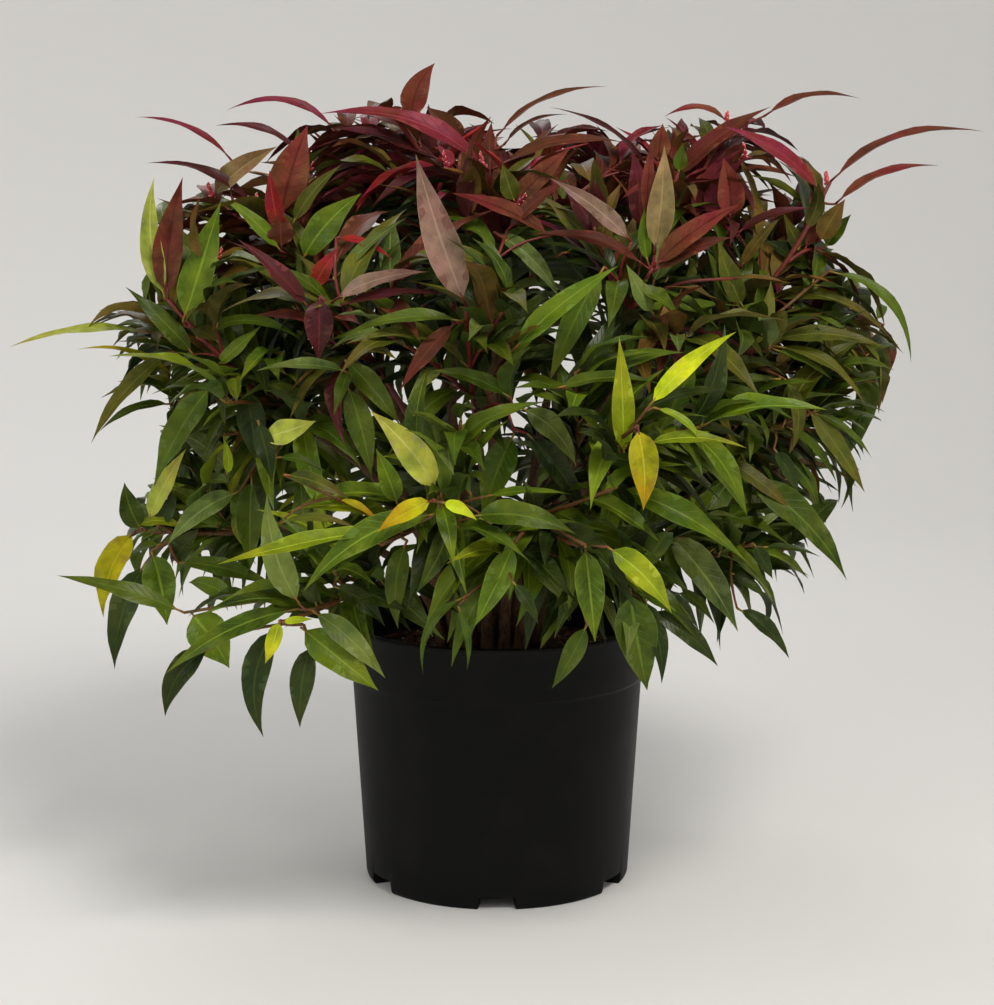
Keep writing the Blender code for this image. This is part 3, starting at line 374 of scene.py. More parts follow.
    ("mid_left_front", -15.0,
     (-15.6, 34.4, 19, 3.8, PALE, 44, -2, 70), (-15.9, 35.6, -77, 4.2, DEEP, 32, 0),
     (-14.7, 33.1, -16, 3.5, GREEN, 18, 8, 50)),
    ("mid_left_front", -10.0,
     (-17.8, 30.1, -144, 6.2, SAGE, 26, -5), (-16.9, 31.1, -91, 6.3, GREEN, 30, 0, 62)),
    ("upper_front_left", -15.0,
     (-10.7, 43.6, 18, 6.4, SILVER, 19, 5, 55), (-11.7, 43.8, -91, 4.2, WINE, 46, 0, 80),
     (-12.4, 43.1, 135, 6.4, WINE, 20, 0, 55), (-10.4, 43.2, 7, 7.2, WINE, 11, 3, 50)),
    ("upper_front_left", -12.5,
     (-10.8, 44.9, 41, 6.3, SAGE, 13, 3, 55), (-12.4, 44.2, 56, 3.4, SCARLET, 37, 2, 75),
     (-10.7, 47.6, -21, 4.1, SCARLET, 16, 5, 50)),
    ("upper_front_left", -16.0,
     (-9.9, 38.1, -75, 6.3, GREEN, 28, 2, 62), (-10.0, 39.7, -49, 5.6, GREEN, 28, 3),
     (-9.8, 38.9, 178, 6.0, SAGE, 15, -6, 50)),
)
SEEN_LEAVES = tuple(
    (name, back, tuple(Seen(*row[:5], row[5] / 100, row[6] / 100, *row[7:]) for row in rows))
    for name, back, *rows in SEEN_ROWS
)

# The crown's outline from the front in centimetres, as it shows on the plane through the pot's axis.
# Other leaves keep inside it.
FRONT_OUTLINE = (
    (-18.8, 51.6), (-16.9, 54.2), (-12.0, 56.1), (-6.6, 57.1), (-1.9, 56.7), (0.2, 55.7), (4.5, 55.4),
    (7.4, 55.6), (10.3, 54.7), (12.4, 56.1), (16.0, 56.1), (19.6, 55.4), (22.8, 52.7), (24.4, 49.5),
    (24.9, 46.3), (27.8, 42.7), (29.7, 38.9), (28.7, 35.4), (27.5, 30.3), (25.9, 23.6), (22.4, 18.5),
    (18.4, 16.4), (12.1, 15.4), (4.7, 15.1), (-5.3, 15.1), (-8.3, 13.8), (-14.7, 12.1), (-18.0, 11.5),
    (-23.6, 12.6), (-27.2, 16.4), (-29.0, 20.6), (-28.0, 25.8), (-25.4, 29.5), (-24.1, 32.5), (-25.3, 34.5),
    (-29.0, 35.4), (-29.5, 38.2), (-30.0, 41.8), (-25.9, 43.8), (-25.0, 49.9), (-22.1, 51.2),
)

# Sprays behind, in rings round the pot: name, count, distance out, height, pitch of the tip.
BACK_RINGS = (
    ("low_back", 4, 25.5, 26.0, -6, MEADOW),
    ("mid_back", 3, 24.0, 40.5, 20, MELLOW),
    ("upper_back", 2, 17.5, 50.5, 52, EMBER),
)
BACK_FIRST = math.radians(24)
BACK_LAST = math.radians(156)


def unit(vector: Array) -> Array:
    """The vector scaled to length one."""
    return vector / max(np.linalg.norm(vector), 1e-12)


def units(vectors: Array) -> Array:
    """Every vector in an array scaled to length one."""
    return vectors / np.maximum(np.linalg.norm(vectors, axis=-1, keepdims=True), 1e-12)


def bezier(points: Sequence, places: Sequence[float]) -> Array:
    """Points at the given shares along a curve with two, three or four control points."""
    rows = np.repeat(np.array(points, float)[None], len(places), axis=0)
    share = np.array(places, float)[:, None, None]
    while rows.shape[1] > 1:
        rows = rows[:, :-1] * (1 - share) + rows[:, 1:] * share
    return rows[:, 0]


def blend(path: Array, marks: Array, places: Sequence[float]) -> Array:
    """A path's points at some places, where its own points are at the given marks."""
    return np.stack([np.interp(places, marks, path[:, axis]) for axis in range(3)], axis=-1)


def trace(path: Array, step: float = 6 * MM, count: int = 0) -> Array:
    """Points spaced evenly along a path, its ends included.

    Args:
        path: The path's points.
        step: The greatest distance between two points.
        count: How many points to give, where that is fixed.

    Returns:
        The new points.
    """
    spans = np.linalg.norm(np.diff(path, axis=0), axis=1)
    along = np.concatenate([[0.0], np.cumsum(spans)])
    count = count or max(2, int(math.ceil(along[-1] / step)) + 1)
    places = np.linspace(0.0, along[-1], count)
    return blend(path, along, places)


def nearest(points: Array, others: Array) -> Array:
    """The distance from each point to the nearest of some others."""
    if not len(others):
        return np.full(len(points), FAR_AWAY)
    return np.linalg.norm(points[:, None, :] - others[None, :, :], axis=2).min(axis=1)


def close_by(points: Array, others: Array, reach: float) -> Array:
    """Those of some others that lie in the box round the points, widened by a reach."""
    low, high = points.min(axis=0) - reach, points.max(axis=0) + reach
    return others[((others > low) & (others < high)).all(axis=1)]


def is_clear(points: Array, others: Array, gap: float) -> bool:
    """Whether all points are further than a gap from all others."""
    near = close_by(points, others, gap)
    return not len(near) or bool(nearest(points, near).min() > gap)


def inside(points: Array, outline: Array) -> Array:
    """Whether flat points lie inside an outline, by the count of edges that a ray to the right crosses.

    A level edge is never crossed, so its slope doesn't matter.
    """
    first, last = outline, np.roll(outline, -1, axis=0)
    above = (first[None, :, 1] > points[:, None, 1]) != (last[None, :, 1] > points[:, None, 1])
    with np.errstate(divide="ignore", invalid="ignore"):
        slope = (last[:, 0] - first[:, 0]) / (last[:, 1] - first[:, 1])
        cross = first[None, :, 0] + (points[:, None, 1] - first[None, :, 1]) * slope
    return (above & (points[:, None, 0] < cross)).sum(axis=1) % 2 == 1


@dataclass
class Leaf:
    """A leaf's midrib as three points of a parabola, its half width, the way it faces and its tint."""

    root: Array
    bend: Array
    tip: Array
    half_width: float
    normal: Array
    tint: Tint = GREEN
    drawn: bool = False

    def midrib(self, places: Sequence[float]) -> Array:
        """Points at the given shares along the midrib."""
        return bezier((self.root, self.bend, self.tip), places)

    def points(self) -> Array:
        """Points on the midrib and both edges, to test where the leaf lies."""
        places = (0.12, 0.3, 0.45, 0.6, 0.8, 1.0)
        middle = self.midrib(places)
        across = unit(np.cross(self.normal, self.tip - self.root)) * self.half_width
        width = np.interp(places, (0.0, 0.42, 1.0), (0.1, 1.0, 0.0))[:, None]
        return np.concatenate([middle, middle + across * width, middle - across * width])


@dataclass
class Mass:
    """The grown foliage of one spray."""

    name: str
    palette: Palette
    curve: tuple[Array, ...]
    limb: Array
    stem: Array
    twigs: list[Array] = field(default_factory=list)
    fine_twigs: list[Array] = field(default_factory=list)
    spare_twigs: list[Array] = field(default_factory=list)
    leaves: list[Leaf] = field(default_factory=list)


@dataclass(frozen=True)
class CrownShape:
    """The crown's rounded outline, and the pot that foliage keeps clear of."""

    radius_x: float = 35.0 * CM
    radius_y: float = 32.0 * CM
    middle: float = 36.5 * CM
    top: float = 59.0 * CM
    low: float = 13.5 * CM
    round_up: float = 2.9
    round_down: float = 2.1
    rim_radius: float = 110.5 * MM
    rim_height: float = 192 * MM
    compost_top: float = 175 * MM
    eye: Place = EYE

    def within_front(self, points: Array) -> bool:
        """Whether points show inside the front outline, seen from the eye."""
        scale = -self.eye[1] / (points[:, 1] - self.eye[1])
        flat = np.stack([points[:, 0] * scale, self.eye[2] + (points[:, 2] - self.eye[2]) * scale], axis=1)
        return bool(inside(flat, np.array(FRONT_OUTLINE) * CM).all())

    def excess(self, points: Array) -> Array:
        """How far points are beyond the outline, a rounded box: one on it, less inside."""
        rise = points[:, 2] - self.middle
        tall = np.where(rise > 0, self.top - self.middle, self.middle - self.low)
        power = np.where(rise > 0, self.round_up, self.round_down)
        across = np.hypot(points[:, 0] / self.radius_x, points[:, 1] / self.radius_y)
        return across ** power + np.abs(rise / tall) ** power

    def clear_of_pot(self, points: Array, margin: float) -> bool:
        """Whether points stay outside the pot and above the compost."""
        across = np.hypot(points[:, 0], points[:, 1])
        return not ((across < self.rim_radius + margin) & (points[:, 2] < self.rim_height + margin)).any()

    @staticmethod
    def outward(point: Array) -> Array:
        """The way out of the crown at a point, tilted up."""
        return unit(np.array([point[0], point[1], (point[2] - 0.30) * 0.9 + 0.02]))


@dataclass
class LeafSpace:
    """Where leaves already are, as a few points on each."""

    room: int = 4000
    reach: float = 11 * CM
    count: int = 0

    def __post_init__(self) -> None:
        """Make space for the leaves' points and middles."""
        self.clouds = np.zeros((self.room, 18, 3))
        self.middles = np.full((self.room, 3), FAR_AWAY)

    def add(self, points: Array) -> None:
        """Note a leaf by its points."""
        self.clouds[self.count] = points
        self.middles[self.count] = points.mean(axis=0)
        self.count += 1

    def is_free(self, points: Array, root: Array, own_root: float, clear: float) -> bool:
        """Whether a leaf's points, past its own root, keep a distance from every leaf."""
        outer = points[np.linalg.norm(points - root, axis=1) > own_root]
        near = np.linalg.norm(self.middles[:self.count] - points.mean(axis=0), axis=1) < self.reach
        return is_clear(outer, self.clouds[:self.count][near].reshape(-1, 3), clear)


@dataclass(frozen=True)
class Filling:
    """One round of finer growth.

    It has its twigs' length, how far twigs and leaves reach as shares of the crown, the most leaves
    that a spray gets, and the plane behind which it grows.
    """

    twig_length: float
    twig_reach: float
    leaf_reach: float
    most_leaves: int
    behind: float


ALL_ROUND = Filling(4.6 * CM, 0.66, 0.80, 30, -1.0)
AT_THE_BACK = Filling(6.4 * CM, 0.86, 0.97, 34, -4.0 * CM)
INSIDE = Filling(6.0 * CM, 0.52, 0.64, 18, -1.0)
ROUNDS = (ALL_ROUND, AT_THE_BACK, AT_THE_BACK, INSIDE)


@dataclass(frozen=True)
class Clear:
    """The distances that finer growth keeps, from pot, limbs, the eye's way and its own kind.

    Its own kind counts only past its own root.
    """

    pot: float
    limb: float
    sight: float
    own_kind: float
    own_root: float


# The limbs are tested as lines, so a cane's radius comes on top.
CANE_RADIUS = 3.9 * MM
TWIG_CLEAR = Clear(14 * MM, CANE_RADIUS + 3.2 * MM, 7 * MM, 9 * MM, 14 * MM)
LEAF_CLEAR = Clear(7 * MM, CANE_RADIUS + 1 * MM, 11 * MM, 3.8 * MM, 9 * MM)


@dataclass
class Crown:
    """All the sprays as they grow, each with the lines that mark its own space.

    The first growth draws the same random numbers as the solids' rule, so its leaves are the same.
    The second growth fills in between with finer twigs and leaves, from numbers of its own.
    """

    shape: CrownShape = CrownShape()
    seed: int = 4561
    foot_low: float = 4.6 * CM
    foot_high: float = 1.9 * CM
    foot_apart: float = 9.6 * MM
    foot_rounds: int = 60
    cane_radius: float = CANE_RADIUS
    cane_share: float = 0.58
    cane_steps: int = 5
    stem_steps: int = 4
    twig_steps: int = 2
    twig_radius: float = 1.9 * MM
    twig_lengths: tuple[float, ...] = (9.0 * CM, 8.2 * CM, 7.2 * CM, 6.0 * CM)
    twig_places: tuple[float, ...] = (0.16, 0.38, 0.60, 0.82)
    twigs_per_mass: int = 5
    twig_spread: float = math.radians(52)
    twig_clear: float = 16 * MM
    twig_own_clear: float = 11 * MM
    twig_own_root: float = 24 * MM
    twig_reach: float = 0.80
    twig_outward: float = 0.35
    leaf_length: float = 8.6 * CM
    leaf_width_share: float = 0.215
    leaf_arch: float = 0.10
    leaf_outward: float = 0.25
    leaf_facing: float = 0.7
    long_leaf: float = 10 * CM
    short_leaf: float = 6 * CM
    short_wider: float = 1.15
    seen_arch: float = 0.03
    seen_lean: float = 8.0
    link_least: float = 1.2 * MM
    link_most: float = 14 * MM
    hook_pull: float = 22 * MM
    trim_reach: float = 2.5 * MM
    leaf_spacing: float = 1.75 * CM
    leaf_spread: float = math.radians(56)
    leaf_sunk: float = 0.3 * MM
    leaves_per_mass: int = 16
    shade_depth: float = 0.22
    shade_share: float = 0.6
    blade_spacing: float = 8 * MM
    space_margin: float = 2.6 * MM
    limb_clear: float = 3.2 * MM
    leaf_clear: float = 4.5 * MM
    leaf_off_twig: float = 5 * MM
    leaf_own_root: float = 22 * MM
    pot_clear: float = 7 * MM
    fine_step: float = 2 * MM
    fill_twig_spacing: float = 22 * MM
    fill_leaf_length: float = 7.8 * CM
    fill_spacing: float = 11 * MM
    fill_roll: float = 0.55

    def __post_init__(self) -> None:
        """Set out every limb, main stem and drawn shoot before anything is grown by rule."""
        self.random = random.Random(self.seed)
        self.fill_random = random.Random(self.seed + 1)
        self.tint_random = random.Random(self.seed + 2)
        self.masses: list[Mass] = []
        self.lines: list[Array] = []
        self.hooks: list[list[Array]] = []
        self.space = LeafSpace()
        self.sprays = list(FRONT_SPRAYS) + self.back_sprays()
        for spray, foot in zip(self.sprays, self.cane_feet(self.sprays)):
            self.set_out(spray, foot)
        self.limbs = np.concatenate([trace(mass.limb) for mass in self.masses])

    @staticmethod
    def back_sprays() -> list[Spray]:
        """The sprays behind the pot, spread evenly in rings."""
        sprays = []
        for name, count, reach, height, pitch, palette in BACK_RINGS:
            for index in range(count):
                share = (index + 0.5) / count
                angle = BACK_FIRST + share * (BACK_LAST - BACK_FIRST)
                tip = (reach * math.cos(angle), reach * math.sin(angle), height + 1.5 * (index % 2))
                sprays.append(Spray(f"{name}_{index + 1}", pitch, palette, (Shoot(tip, ()),)))
        return sprays

    def cane_feet(self, sprays: Sequence[Spray]) -> Array:
        """Where the canes leave the compost: the low ones further out, all pushed apart evenly."""
        tips = np.array([spray.shoots[0].tip for spray in sprays]) * CM
        flat = tips[:, :2]
        away = flat / np.linalg.norm(flat, axis=1)[:, None]
        top = self.shape.compost_top
        height = (tips[:, 2] - top) / (self.shape.top - top)
        reach = self.foot_low + (self.foot_high - self.foot_low) * height
        feet = away * reach[:, None]
        for _ in range(self.foot_rounds):
            gaps = feet[:, None] - feet[None]
            spans = np.linalg.norm(gaps, axis=2) + np.eye(len(feet))
            push = np.clip(self.foot_apart - spans, 0.0, None) / spans
            np.fill_diagonal(push, 0.0)
            feet = feet + 0.35 * (gaps * push[:, :, None]).sum(axis=1)
        return np.column_stack([feet, np.full(len(feet), top + GAP)])

    @staticmethod
    def cane_curve(spray: Spray, foot: Array) -> tuple[Array, ...]:
        """The four control points of a cane, from the compost to the tip of its foliage."""
        tip = np.array(spray.shoots[0].tip) * CM
        away = unit(np.array([tip[0], tip[1], 0.0]))
        pitch = math.radians(spray.pitch)
        end = away * math.cos(pitch) + UP * math.sin(pitch)
        span = np.linalg.norm(tip - foot)
        rise = max(tip[2] - foot[2], 0.0)
        first = foot + UP * (CANE_PULL * span + CANE_LIFT * rise) + away * CANE_LIFT * span
        return foot, first, tip - end * CANE_PULL * span, tip

    def shoot_path(self, stem: Array, tip: Array) -> Array:
        """A side twig's path from a lower place on the stem to a given tip, arching up to it."""
        gaps = np.linalg.norm(stem - tip, axis=1)
        spans = np.concatenate([[0.0], np.cumsum(np.linalg.norm(np.diff(stem, axis=0), axis=1))])
        closest = spans[int(np.argmin(gaps))]
        start_at = np.clip(closest - 0.55 * gaps.min() - 8 * MM, 14 * MM, spans[-1] * 0.9)
        ahead_at = min(start_at + 5 * MM, spans[-1])
        start, ahead = blend(stem, spans, (start_at, ahead_at))
        length = np.linalg.norm(tip - start)
        bend = start + unit(ahead - start) * 0.38 * length + UP * (0.06 * length)
        return bezier((start, bend, tip), np.linspace(0, 1, self.twig_steps + 1))

    def make_leaf(self, root: Array, way: Array, towards: Array, length: float) -> Leaf:
        """A leaf from its root, the way it runs and the side it faces."""
        normal = unit(towards - way * float(towards @ way))
        tip = root + way * length
        bend = (root + tip) / 2 + normal * 2 * self.leaf_arch * length
        wider = 1.0 if length > self.short_leaf else self.short_wider
        half = 0.5 * self.leaf_width_share * min(length, self.long_leaf) * wider
        return Leaf(root - way * self.leaf_sunk, bend, tip, half, normal)

    def blade_leaf(self, blade: Blade, root: Array) -> Leaf:
        """A leaf that is drawn by its angle and length in the front view."""
        angle, lean, face = (math.radians(value) for value in (blade.angle, blade.lean, blade.face))
        way = np.array([math.cos(angle) * math.cos(lean), -math.sin(lean), math.sin(angle) * math.cos(lean)])
        towards = np.array([0.0, -math.sin(face), math.cos(face)])
        leaf = self.make_leaf(root, way, towards, blade.length * CM / math.cos(lean))
        leaf.drawn = True
        return leaf

    def set_out(self, spray: Spray, foot: Array) -> None:
        """Start one spray with its limb, stem and the shoots that are drawn."""
        curve = self.cane_curve(spray, foot)
        limb = bezier(curve, np.linspace(0, self.cane_share, self.cane_steps + 1))
        stem = bezier(curve, np.linspace(self.cane_share, 1, self.stem_steps + 1))
        stem[0] += unit(stem[1] - stem[0]) * GAP
        mass = Mass(spray.name, spray.palette, curve, limb, stem)
        lines = [trace(stem)]
        hooks = [stem]
        fine = trace(stem, self.fine_step)
        for index, shoot in enumerate(spray.shoots):
            path = stem
            if index:
                path = self.shoot_path(fine, np.array(shoot.tip) * CM)
                mass.twigs.append(path)
                lines.append(trace(path))
                hooks.append(path)
            ends = trace(path, self.fine_step)[::-1]
            for order, blade in enumerate(shoot.blades):
                at = int(order * self.blade_spacing / self.fine_step) + 1
                leaf = self.blade_leaf(blade, ends[min(at, len(ends) - 1)])
                mass.leaves.append(leaf)
                lines.append(trace(leaf.midrib(np.linspace(0, 1, 6))))
        self.masses.append(mass)
        self.lines.append(np.concatenate(lines))
        self.hooks.append(hooks)

    def others(self, index: int) -> Array:
        """The lines of every spray but one."""
        return np.concatenate([line for place, line in enumerate(self.lines) if place != index])

    def twig_fits(self, index: int, path: Array) -> bool:
        """Whether a twig keeps to its spray's space, clear of limbs, pot and outline."""
        points = trace(path)[1:]
        if self.shape.excess(points).max() > self.twig_reach:
            return False
        if not self.shape.clear_of_pot(points, 2 * self.pot_clear):
            return False
        if nearest(points, self.others(index)).min() < self.twig_clear:
            return False
        if not is_clear(points, self.limbs, self.cane_radius + self.twig_radius + self.limb_clear):
            return False
        own = self.lines[index]
        far = own[np.linalg.norm(own - path[0], axis=1) > self.twig_own_root]
        return nearest(points[1:], far).min() > self.twig_own_clear if len(far) else True

    def leaf_fits(self, index: int, leaf: Leaf) -> bool:
        """Whether a leaf keeps to its spray's space and clear of its neighbours."""
        points = leaf.points()
        if self.shape.excess(points).max() > 1.0 or not self.shape.clear_of_pot(points, self.pot_clear):
            return False
        if not is_clear(points, self.limbs, self.cane_radius + self.limb_clear):
            return False
        own = nearest(points, self.lines[index]) + self.space_margin
        if (nearest(points, close_by(points, self.others(index), own.max())) < own).any():
            return False
        wood = np.concatenate([trace(hook) for hook in self.hooks[index]])
        wood = wood[np.linalg.norm(wood - leaf.root, axis=1) > self.leaf_own_root]
        if nearest(points, wood).min() < self.leaf_off_twig:
            return False
        outer = points[np.linalg.norm(points - leaf.root, axis=1) > self.leaf_own_root]
        others = (other.points() for other in self.masses[index].leaves)
        return all(nearest(outer, other).min() > self.leaf_clear for other in others)

    def side_twig(self, fine: Array, at: int, turn: float, length: float) -> Array:
        """A twig that leaves a path at one of its points, turned round it, outwards and up."""
        ahead = unit(fine[min(at + 2, len(fine) - 1)] - fine[max(at - 2, 0)])
        side = unit(np.cross(ahead, UP))
        lift = np.cross(side, ahead)
        around = side * math.cos(turn) + lift * math.sin(turn)
        way = ahead * math.cos(self.twig_spread) + around * math.sin(self.twig_spread)
        way = unit(way + self.twig_outward * self.shape.outward(fine[at]))
        tip = fine[at] + way * length
        bend = fine[at] + unit(way + 0.5 * ahead) * 0.5 * length
        return bezier((fine[at], bend, tip), np.linspace(0, 1, self.twig_steps + 1))

    def grow_twigs(self, index: int) -> None:
        """Side twigs by rule: round the main stem by the golden angle, turned outwards and up."""
        mass = self.masses[index]
        fine = trace(mass.stem, self.fine_step)
        turn = self.random.uniform(0, FULL_TURN)
        tries = ((0, 1), (0.6, 1), (-0.6, 1), (1.2, 0.9), (-1.2, 0.9), (0, 0.7), (2.2, 0.75), (-2.2, 0.75))
        for place, length in zip(self.twig_places, self.twig_lengths):
            if len(mass.twigs) >= self.twigs_per_mass:
                return
            at = int(place * (len(fine) - 1))
            turn += GOLDEN_ANGLE
            for shift, scale in tries:
                path = self.side_twig(fine, at, turn + shift, length * scale)
                if self.twig_fits(index, path):
                    mass.twigs.append(path)
                    self.hooks[index].append(path)
                    self.lines[index] = np.concatenate([self.lines[index], trace(path)])
                    break

    def held_leaf(self, fine: Array, at: int, start: float, spread: float, droop: float, length: float,
                  roll: float = 0.0) -> Leaf:
        """A leaf held out from a path at one of its points, as its turn, spread, droop and roll say."""
        ahead = unit(fine[at] - fine[max(at - 3, 0)])
        out = self.shape.outward(fine[at])
        side = unit(np.cross(ahead, UP))
        lift = np.cross(side, ahead)
        around = side * math.cos(start) + lift * math.sin(start)
        way = ahead * math.cos(spread) + around * math.sin(spread)
        way = unit(way + self.leaf_outward * out - UP * droop)
        towards = UP + self.leaf_facing * out + roll * np.cross(way, out)
        return self.make_leaf(fine[at], way, towards, length)

    def grow_leaves(self, index: int) -> None:
        """Leaves by rule: from each tip backwards, on either side in turn."""
        mass = self.masses[index]
        for hook in self.hooks[index]:
            fine = trace(hook, self.fine_step)
            spacing = max(1, int(self.leaf_spacing / self.fine_step))
            for order, at in enumerate(range(len(fine) - 2, 5, -spacing)):
                if len(mass.leaves) >= self.leaves_per_mass:
                    return
                leaf = self.find_leaf(index, fine, at, order)
                if leaf:
                    leaf.tint = self.deal_tint(mass, leaf)
                    mass.leaves.append(leaf)

    def find_leaf(self, index: int, fine: Array, at: int, order: int) -> Optional[Leaf]:
        """The first way of holding a leaf that fits, or none."""
        length = self.leaf_length * self.random.uniform(0.82, 1.12)
        start = (0.0 if order % 2 else math.pi) + self.random.uniform(-0.5, 0.5)
        spread = self.leaf_spread if order else 0.3 * self.leaf_spread
        droop = self.random.uniform(0.05, 0.40)
        for scale in (1.0, 0.86, 0.72):
            for shift in (0.0, 0.7, -0.7, 1.4, -1.4, 2.4, -2.4, math.pi):
                leaf = self.held_leaf(fine, at, start + shift, spread, droop, length * scale)
                if self.leaf_fits(index, leaf):
                    return leaf
        return None

    def deal_tint(self, mass: Mass, leaf: Leaf) -> Tint:
        """A tint from the spray's palette, or painted shade for a leaf that lies well inside: mostly the
        deep green, else plain green.
        """
        tints, shares = zip(*mass.palette.value)
        tint = self.tint_random.choices(tints, shares)[0]
        # Painted shade: a leaf well inside the crown gets the deep green, or else plain green, instead of
        # its palette's tint.
        if self.shape.excess(leaf.tip[None])[0] < self.shade_depth:
            return DEEP if self.tint_random.random() < self.shade_share else GREEN
        return tint

    def seen_leaf(self, seen: Seen, back: float) -> Leaf:
        """A leaf as it shows from the front, bowed in that view and a little arched."""
        root = np.array([seen.x, back, seen.z]) * CM
        leaf = self.blade_leaf(Blade(seen.angle, seen.length, self.seen_lean, seen.face), root)
        span = leaf.tip - leaf.root
        left = np.array([-span[2], 0.0, span[0]])
        bulge = left * seen.bow + leaf.normal * self.seen_arch * seen.length * CM
        leaf.bend = (leaf.root + leaf.tip) / 2 + 2 * bulge
        leaf.half_width = 0.5 * seen.width * seen.length * CM
        leaf.tint = seen.tint
        return leaf

    def link(self, paths: Sequence[Array], root: Array) -> Optional[Array]:
        """A twig to a leaf's root from the nearest of some paths, unless it lies on one."""
        fine = min(paths, key=lambda some: np.linalg.norm(some - root, axis=1).min())
        gaps = np.linalg.norm(fine - root, axis=1)
        if gaps.min() < self.link_least:
            return None
        if gaps.min() > self.link_most:
            return self.shoot_path(fine, root)
        start = fine[max(int(np.argmin(gaps)) - 2, 0)]
        return np.stack([start, (start + root) / 2 - UP * (0.08 * gaps.min()), root])

    def show_leaves(self) -> None:
        """Put the leaves that show from the front in place of those that the growth went round."""
        names = [mass.name for mass in self.masses]
        for mass, spray in zip(self.masses, self.sprays):
            del mass.leaves[:sum(len(shoot.blades) for shoot in spray.shoots)]
        for name, back, group in SEEN_LEAVES:
            index = names.index(name)
            mass = self.masses[index]
            leaves = [self.seen_leaf(seen, back) for seen in group]
            roots = np.array([leaf.root for leaf in leaves])
            for hook in self.hooks[index]:
                near = int(np.argmin(np.linalg.norm(roots - hook[-1], axis=1)))
                if np.linalg.norm(roots[near] - hook[-1]) < self.hook_pull:
                    hook[-1] = roots[near]
            paths = [trace(path, self.fine_step) for path in self.hooks[index]]
            for leaf in leaves:
                path = self.link(paths, leaf.root)
                if path is not None:
                    mass.fine_twigs.append(path)
                    paths.append(trace(path, self.fine_step))
            mass.leaves = leaves + mass.leaves

    def sight_lines(self) -> Array:
        """Points in front of the drawn leaves, on the way to the eye, that filling keeps clear of."""
        eye = np.array(self.shape.eye)
        points = []
        for leaf in (leaf for mass in self.masses for leaf in mass.leaves if leaf.drawn):
            middle = leaf.midrib(np.linspace(0.25, 0.9, 5))
            for reach in np.arange(1.6, 13.0, 1.8) * CM:
                points.append(middle + units(eye - middle) * reach)
        return np.concatenate(points)

    def thin_out(self) -> None:
        """Take away grown leaves that stand beyond the front outline or hide a drawn leaf."""
        for mass in self.masses:
            kept = []
            for leaf in mass.leaves:
                points = leaf.points()
                inside = self.shape.within_front(points)
                if leaf.drawn or inside and is_clear(points, self.sights, TWIG_CLEAR.sight):
                    kept.append(leaf)
            mass.leaves = kept

    def fill_twigs(self, index: int, filling: Filling) -> None:
        """Finer side twigs along the stem and twigs of one spray, round them by the golden angle."""
        mass = self.masses[index]
        step = int(self.fill_twig_spacing / self.fine_step)
        starts = self.hooks[index] + mass.spare_twigs
        mass.spare_twigs = []
        for hook in starts:
            fine = trace(hook, self.fine_step)
            turn = self.fill_random.uniform(0, FULL_TURN)
            for at in range(step // 2, len(fine) - 3, step):
                turn += GOLDEN_ANGLE
                length = filling.twig_length * self.fill_random.uniform(0.7, 1.15)
                for shift in (0.0, 0.9, -0.9, 1.8, -1.8, math.pi):
                    path = self.side_twig(fine, at, turn + shift, length)
                    if self.fine_twig_fits(path, filling):
                        mass.spare_twigs.append(path)
                        self.wood = np.concatenate([self.wood, trace(path)[1:]])
                        break

    def has_room(self, points: Array, reach: float, behind: float, clear: Clear) -> bool:
        """Whether finer growth keeps inside the crown, off pot and limbs, and out of the eye's way."""
        return bool(
            self.shape.excess(points).max() <= reach
            and points[:, 1].min() >= behind
            and self.shape.clear_of_pot(points, clear.pot)
            and self.shape.within_front(points)
            and is_clear(points, self.sights, clear.sight)
            and is_clear(points, self.limbs, clear.limb)
        )

    def fine_twig_fits(self, path: Array, filling: Filling) -> bool:
        """Whether a finer twig has room and is clear of other wood."""
        points = trace(path)[1:]
        if not self.has_room(points, filling.twig_reach, filling.behind, TWIG_CLEAR):
            return False
        far = self.wood[np.linalg.norm(self.wood - path[0], axis=1) > TWIG_CLEAR.own_root]
        return is_clear(points, far, TWIG_CLEAR.own_kind)

    def fill_leaf_fits(self, leaf: Leaf, filling: Filling) -> bool:
        """Whether a filling leaf has room and is clear of other leaves."""
        points = leaf.points()
        if not self.has_room(points, filling.leaf_reach, filling.behind, LEAF_CLEAR):
            return False
        return self.space.is_free(points, leaf.root, LEAF_CLEAR.own_root, LEAF_CLEAR.own_kind)

    def fill_mass(self, index: int, filling: Filling) -> None:
        """Leaves between the first ones, along every stem and twig of one spray."""
        mass = self.masses[index]
        count = 0
        used = []
        spacing = int(self.fill_spacing / self.fine_step)
        for place, hook in enumerate(self.hooks[index][::-1] + mass.spare_twigs):
            fine = trace(hook, self.fine_step)
            before = count
            for order, at in enumerate(range(len(fine) - 1, 2, -spacing)):
                leaf = self.find_fill_leaf(fine, at, order, filling) if count < filling.most_leaves else None
                if leaf:
                    leaf.tint = self.deal_tint(mass, leaf)
                    mass.leaves.append(leaf)
                    self.space.add(leaf.points())
                    count += 1
            if place >= len(self.hooks[index]) and count > before:
                used.append(hook)
        mass.fine_twigs.extend(used)
        mass.spare_twigs = used

    def find_fill_leaf(self, fine: Array, at: int, order: int, filling: Filling) -> Optional[Leaf]:
        """The first way of holding a filling leaf that fits, or none."""
        draw = self.fill_random.uniform
        length = self.fill_leaf_length * draw(0.72, 1.18)
        start = (0.0 if order % 2 else math.pi) + draw(-0.7, 0.7)
        spread = self.leaf_spread * draw(0.8, 1.2) if order else 0.3 * self.leaf_spread
        droop = draw(0.0, 0.45)
        roll = draw(-1, 1) * self.fill_roll
        for scale in (1.0, 0.8, 0.62):
            for shift in (0.0, 0.8, -0.8, 1.6, -1.6, 2.5, -2.5):
                leaf = self.held_leaf(fine, at, start + shift, spread, droop, length * scale, roll)
                if self.fill_leaf_fits(leaf, filling):
                    return leaf
        return None

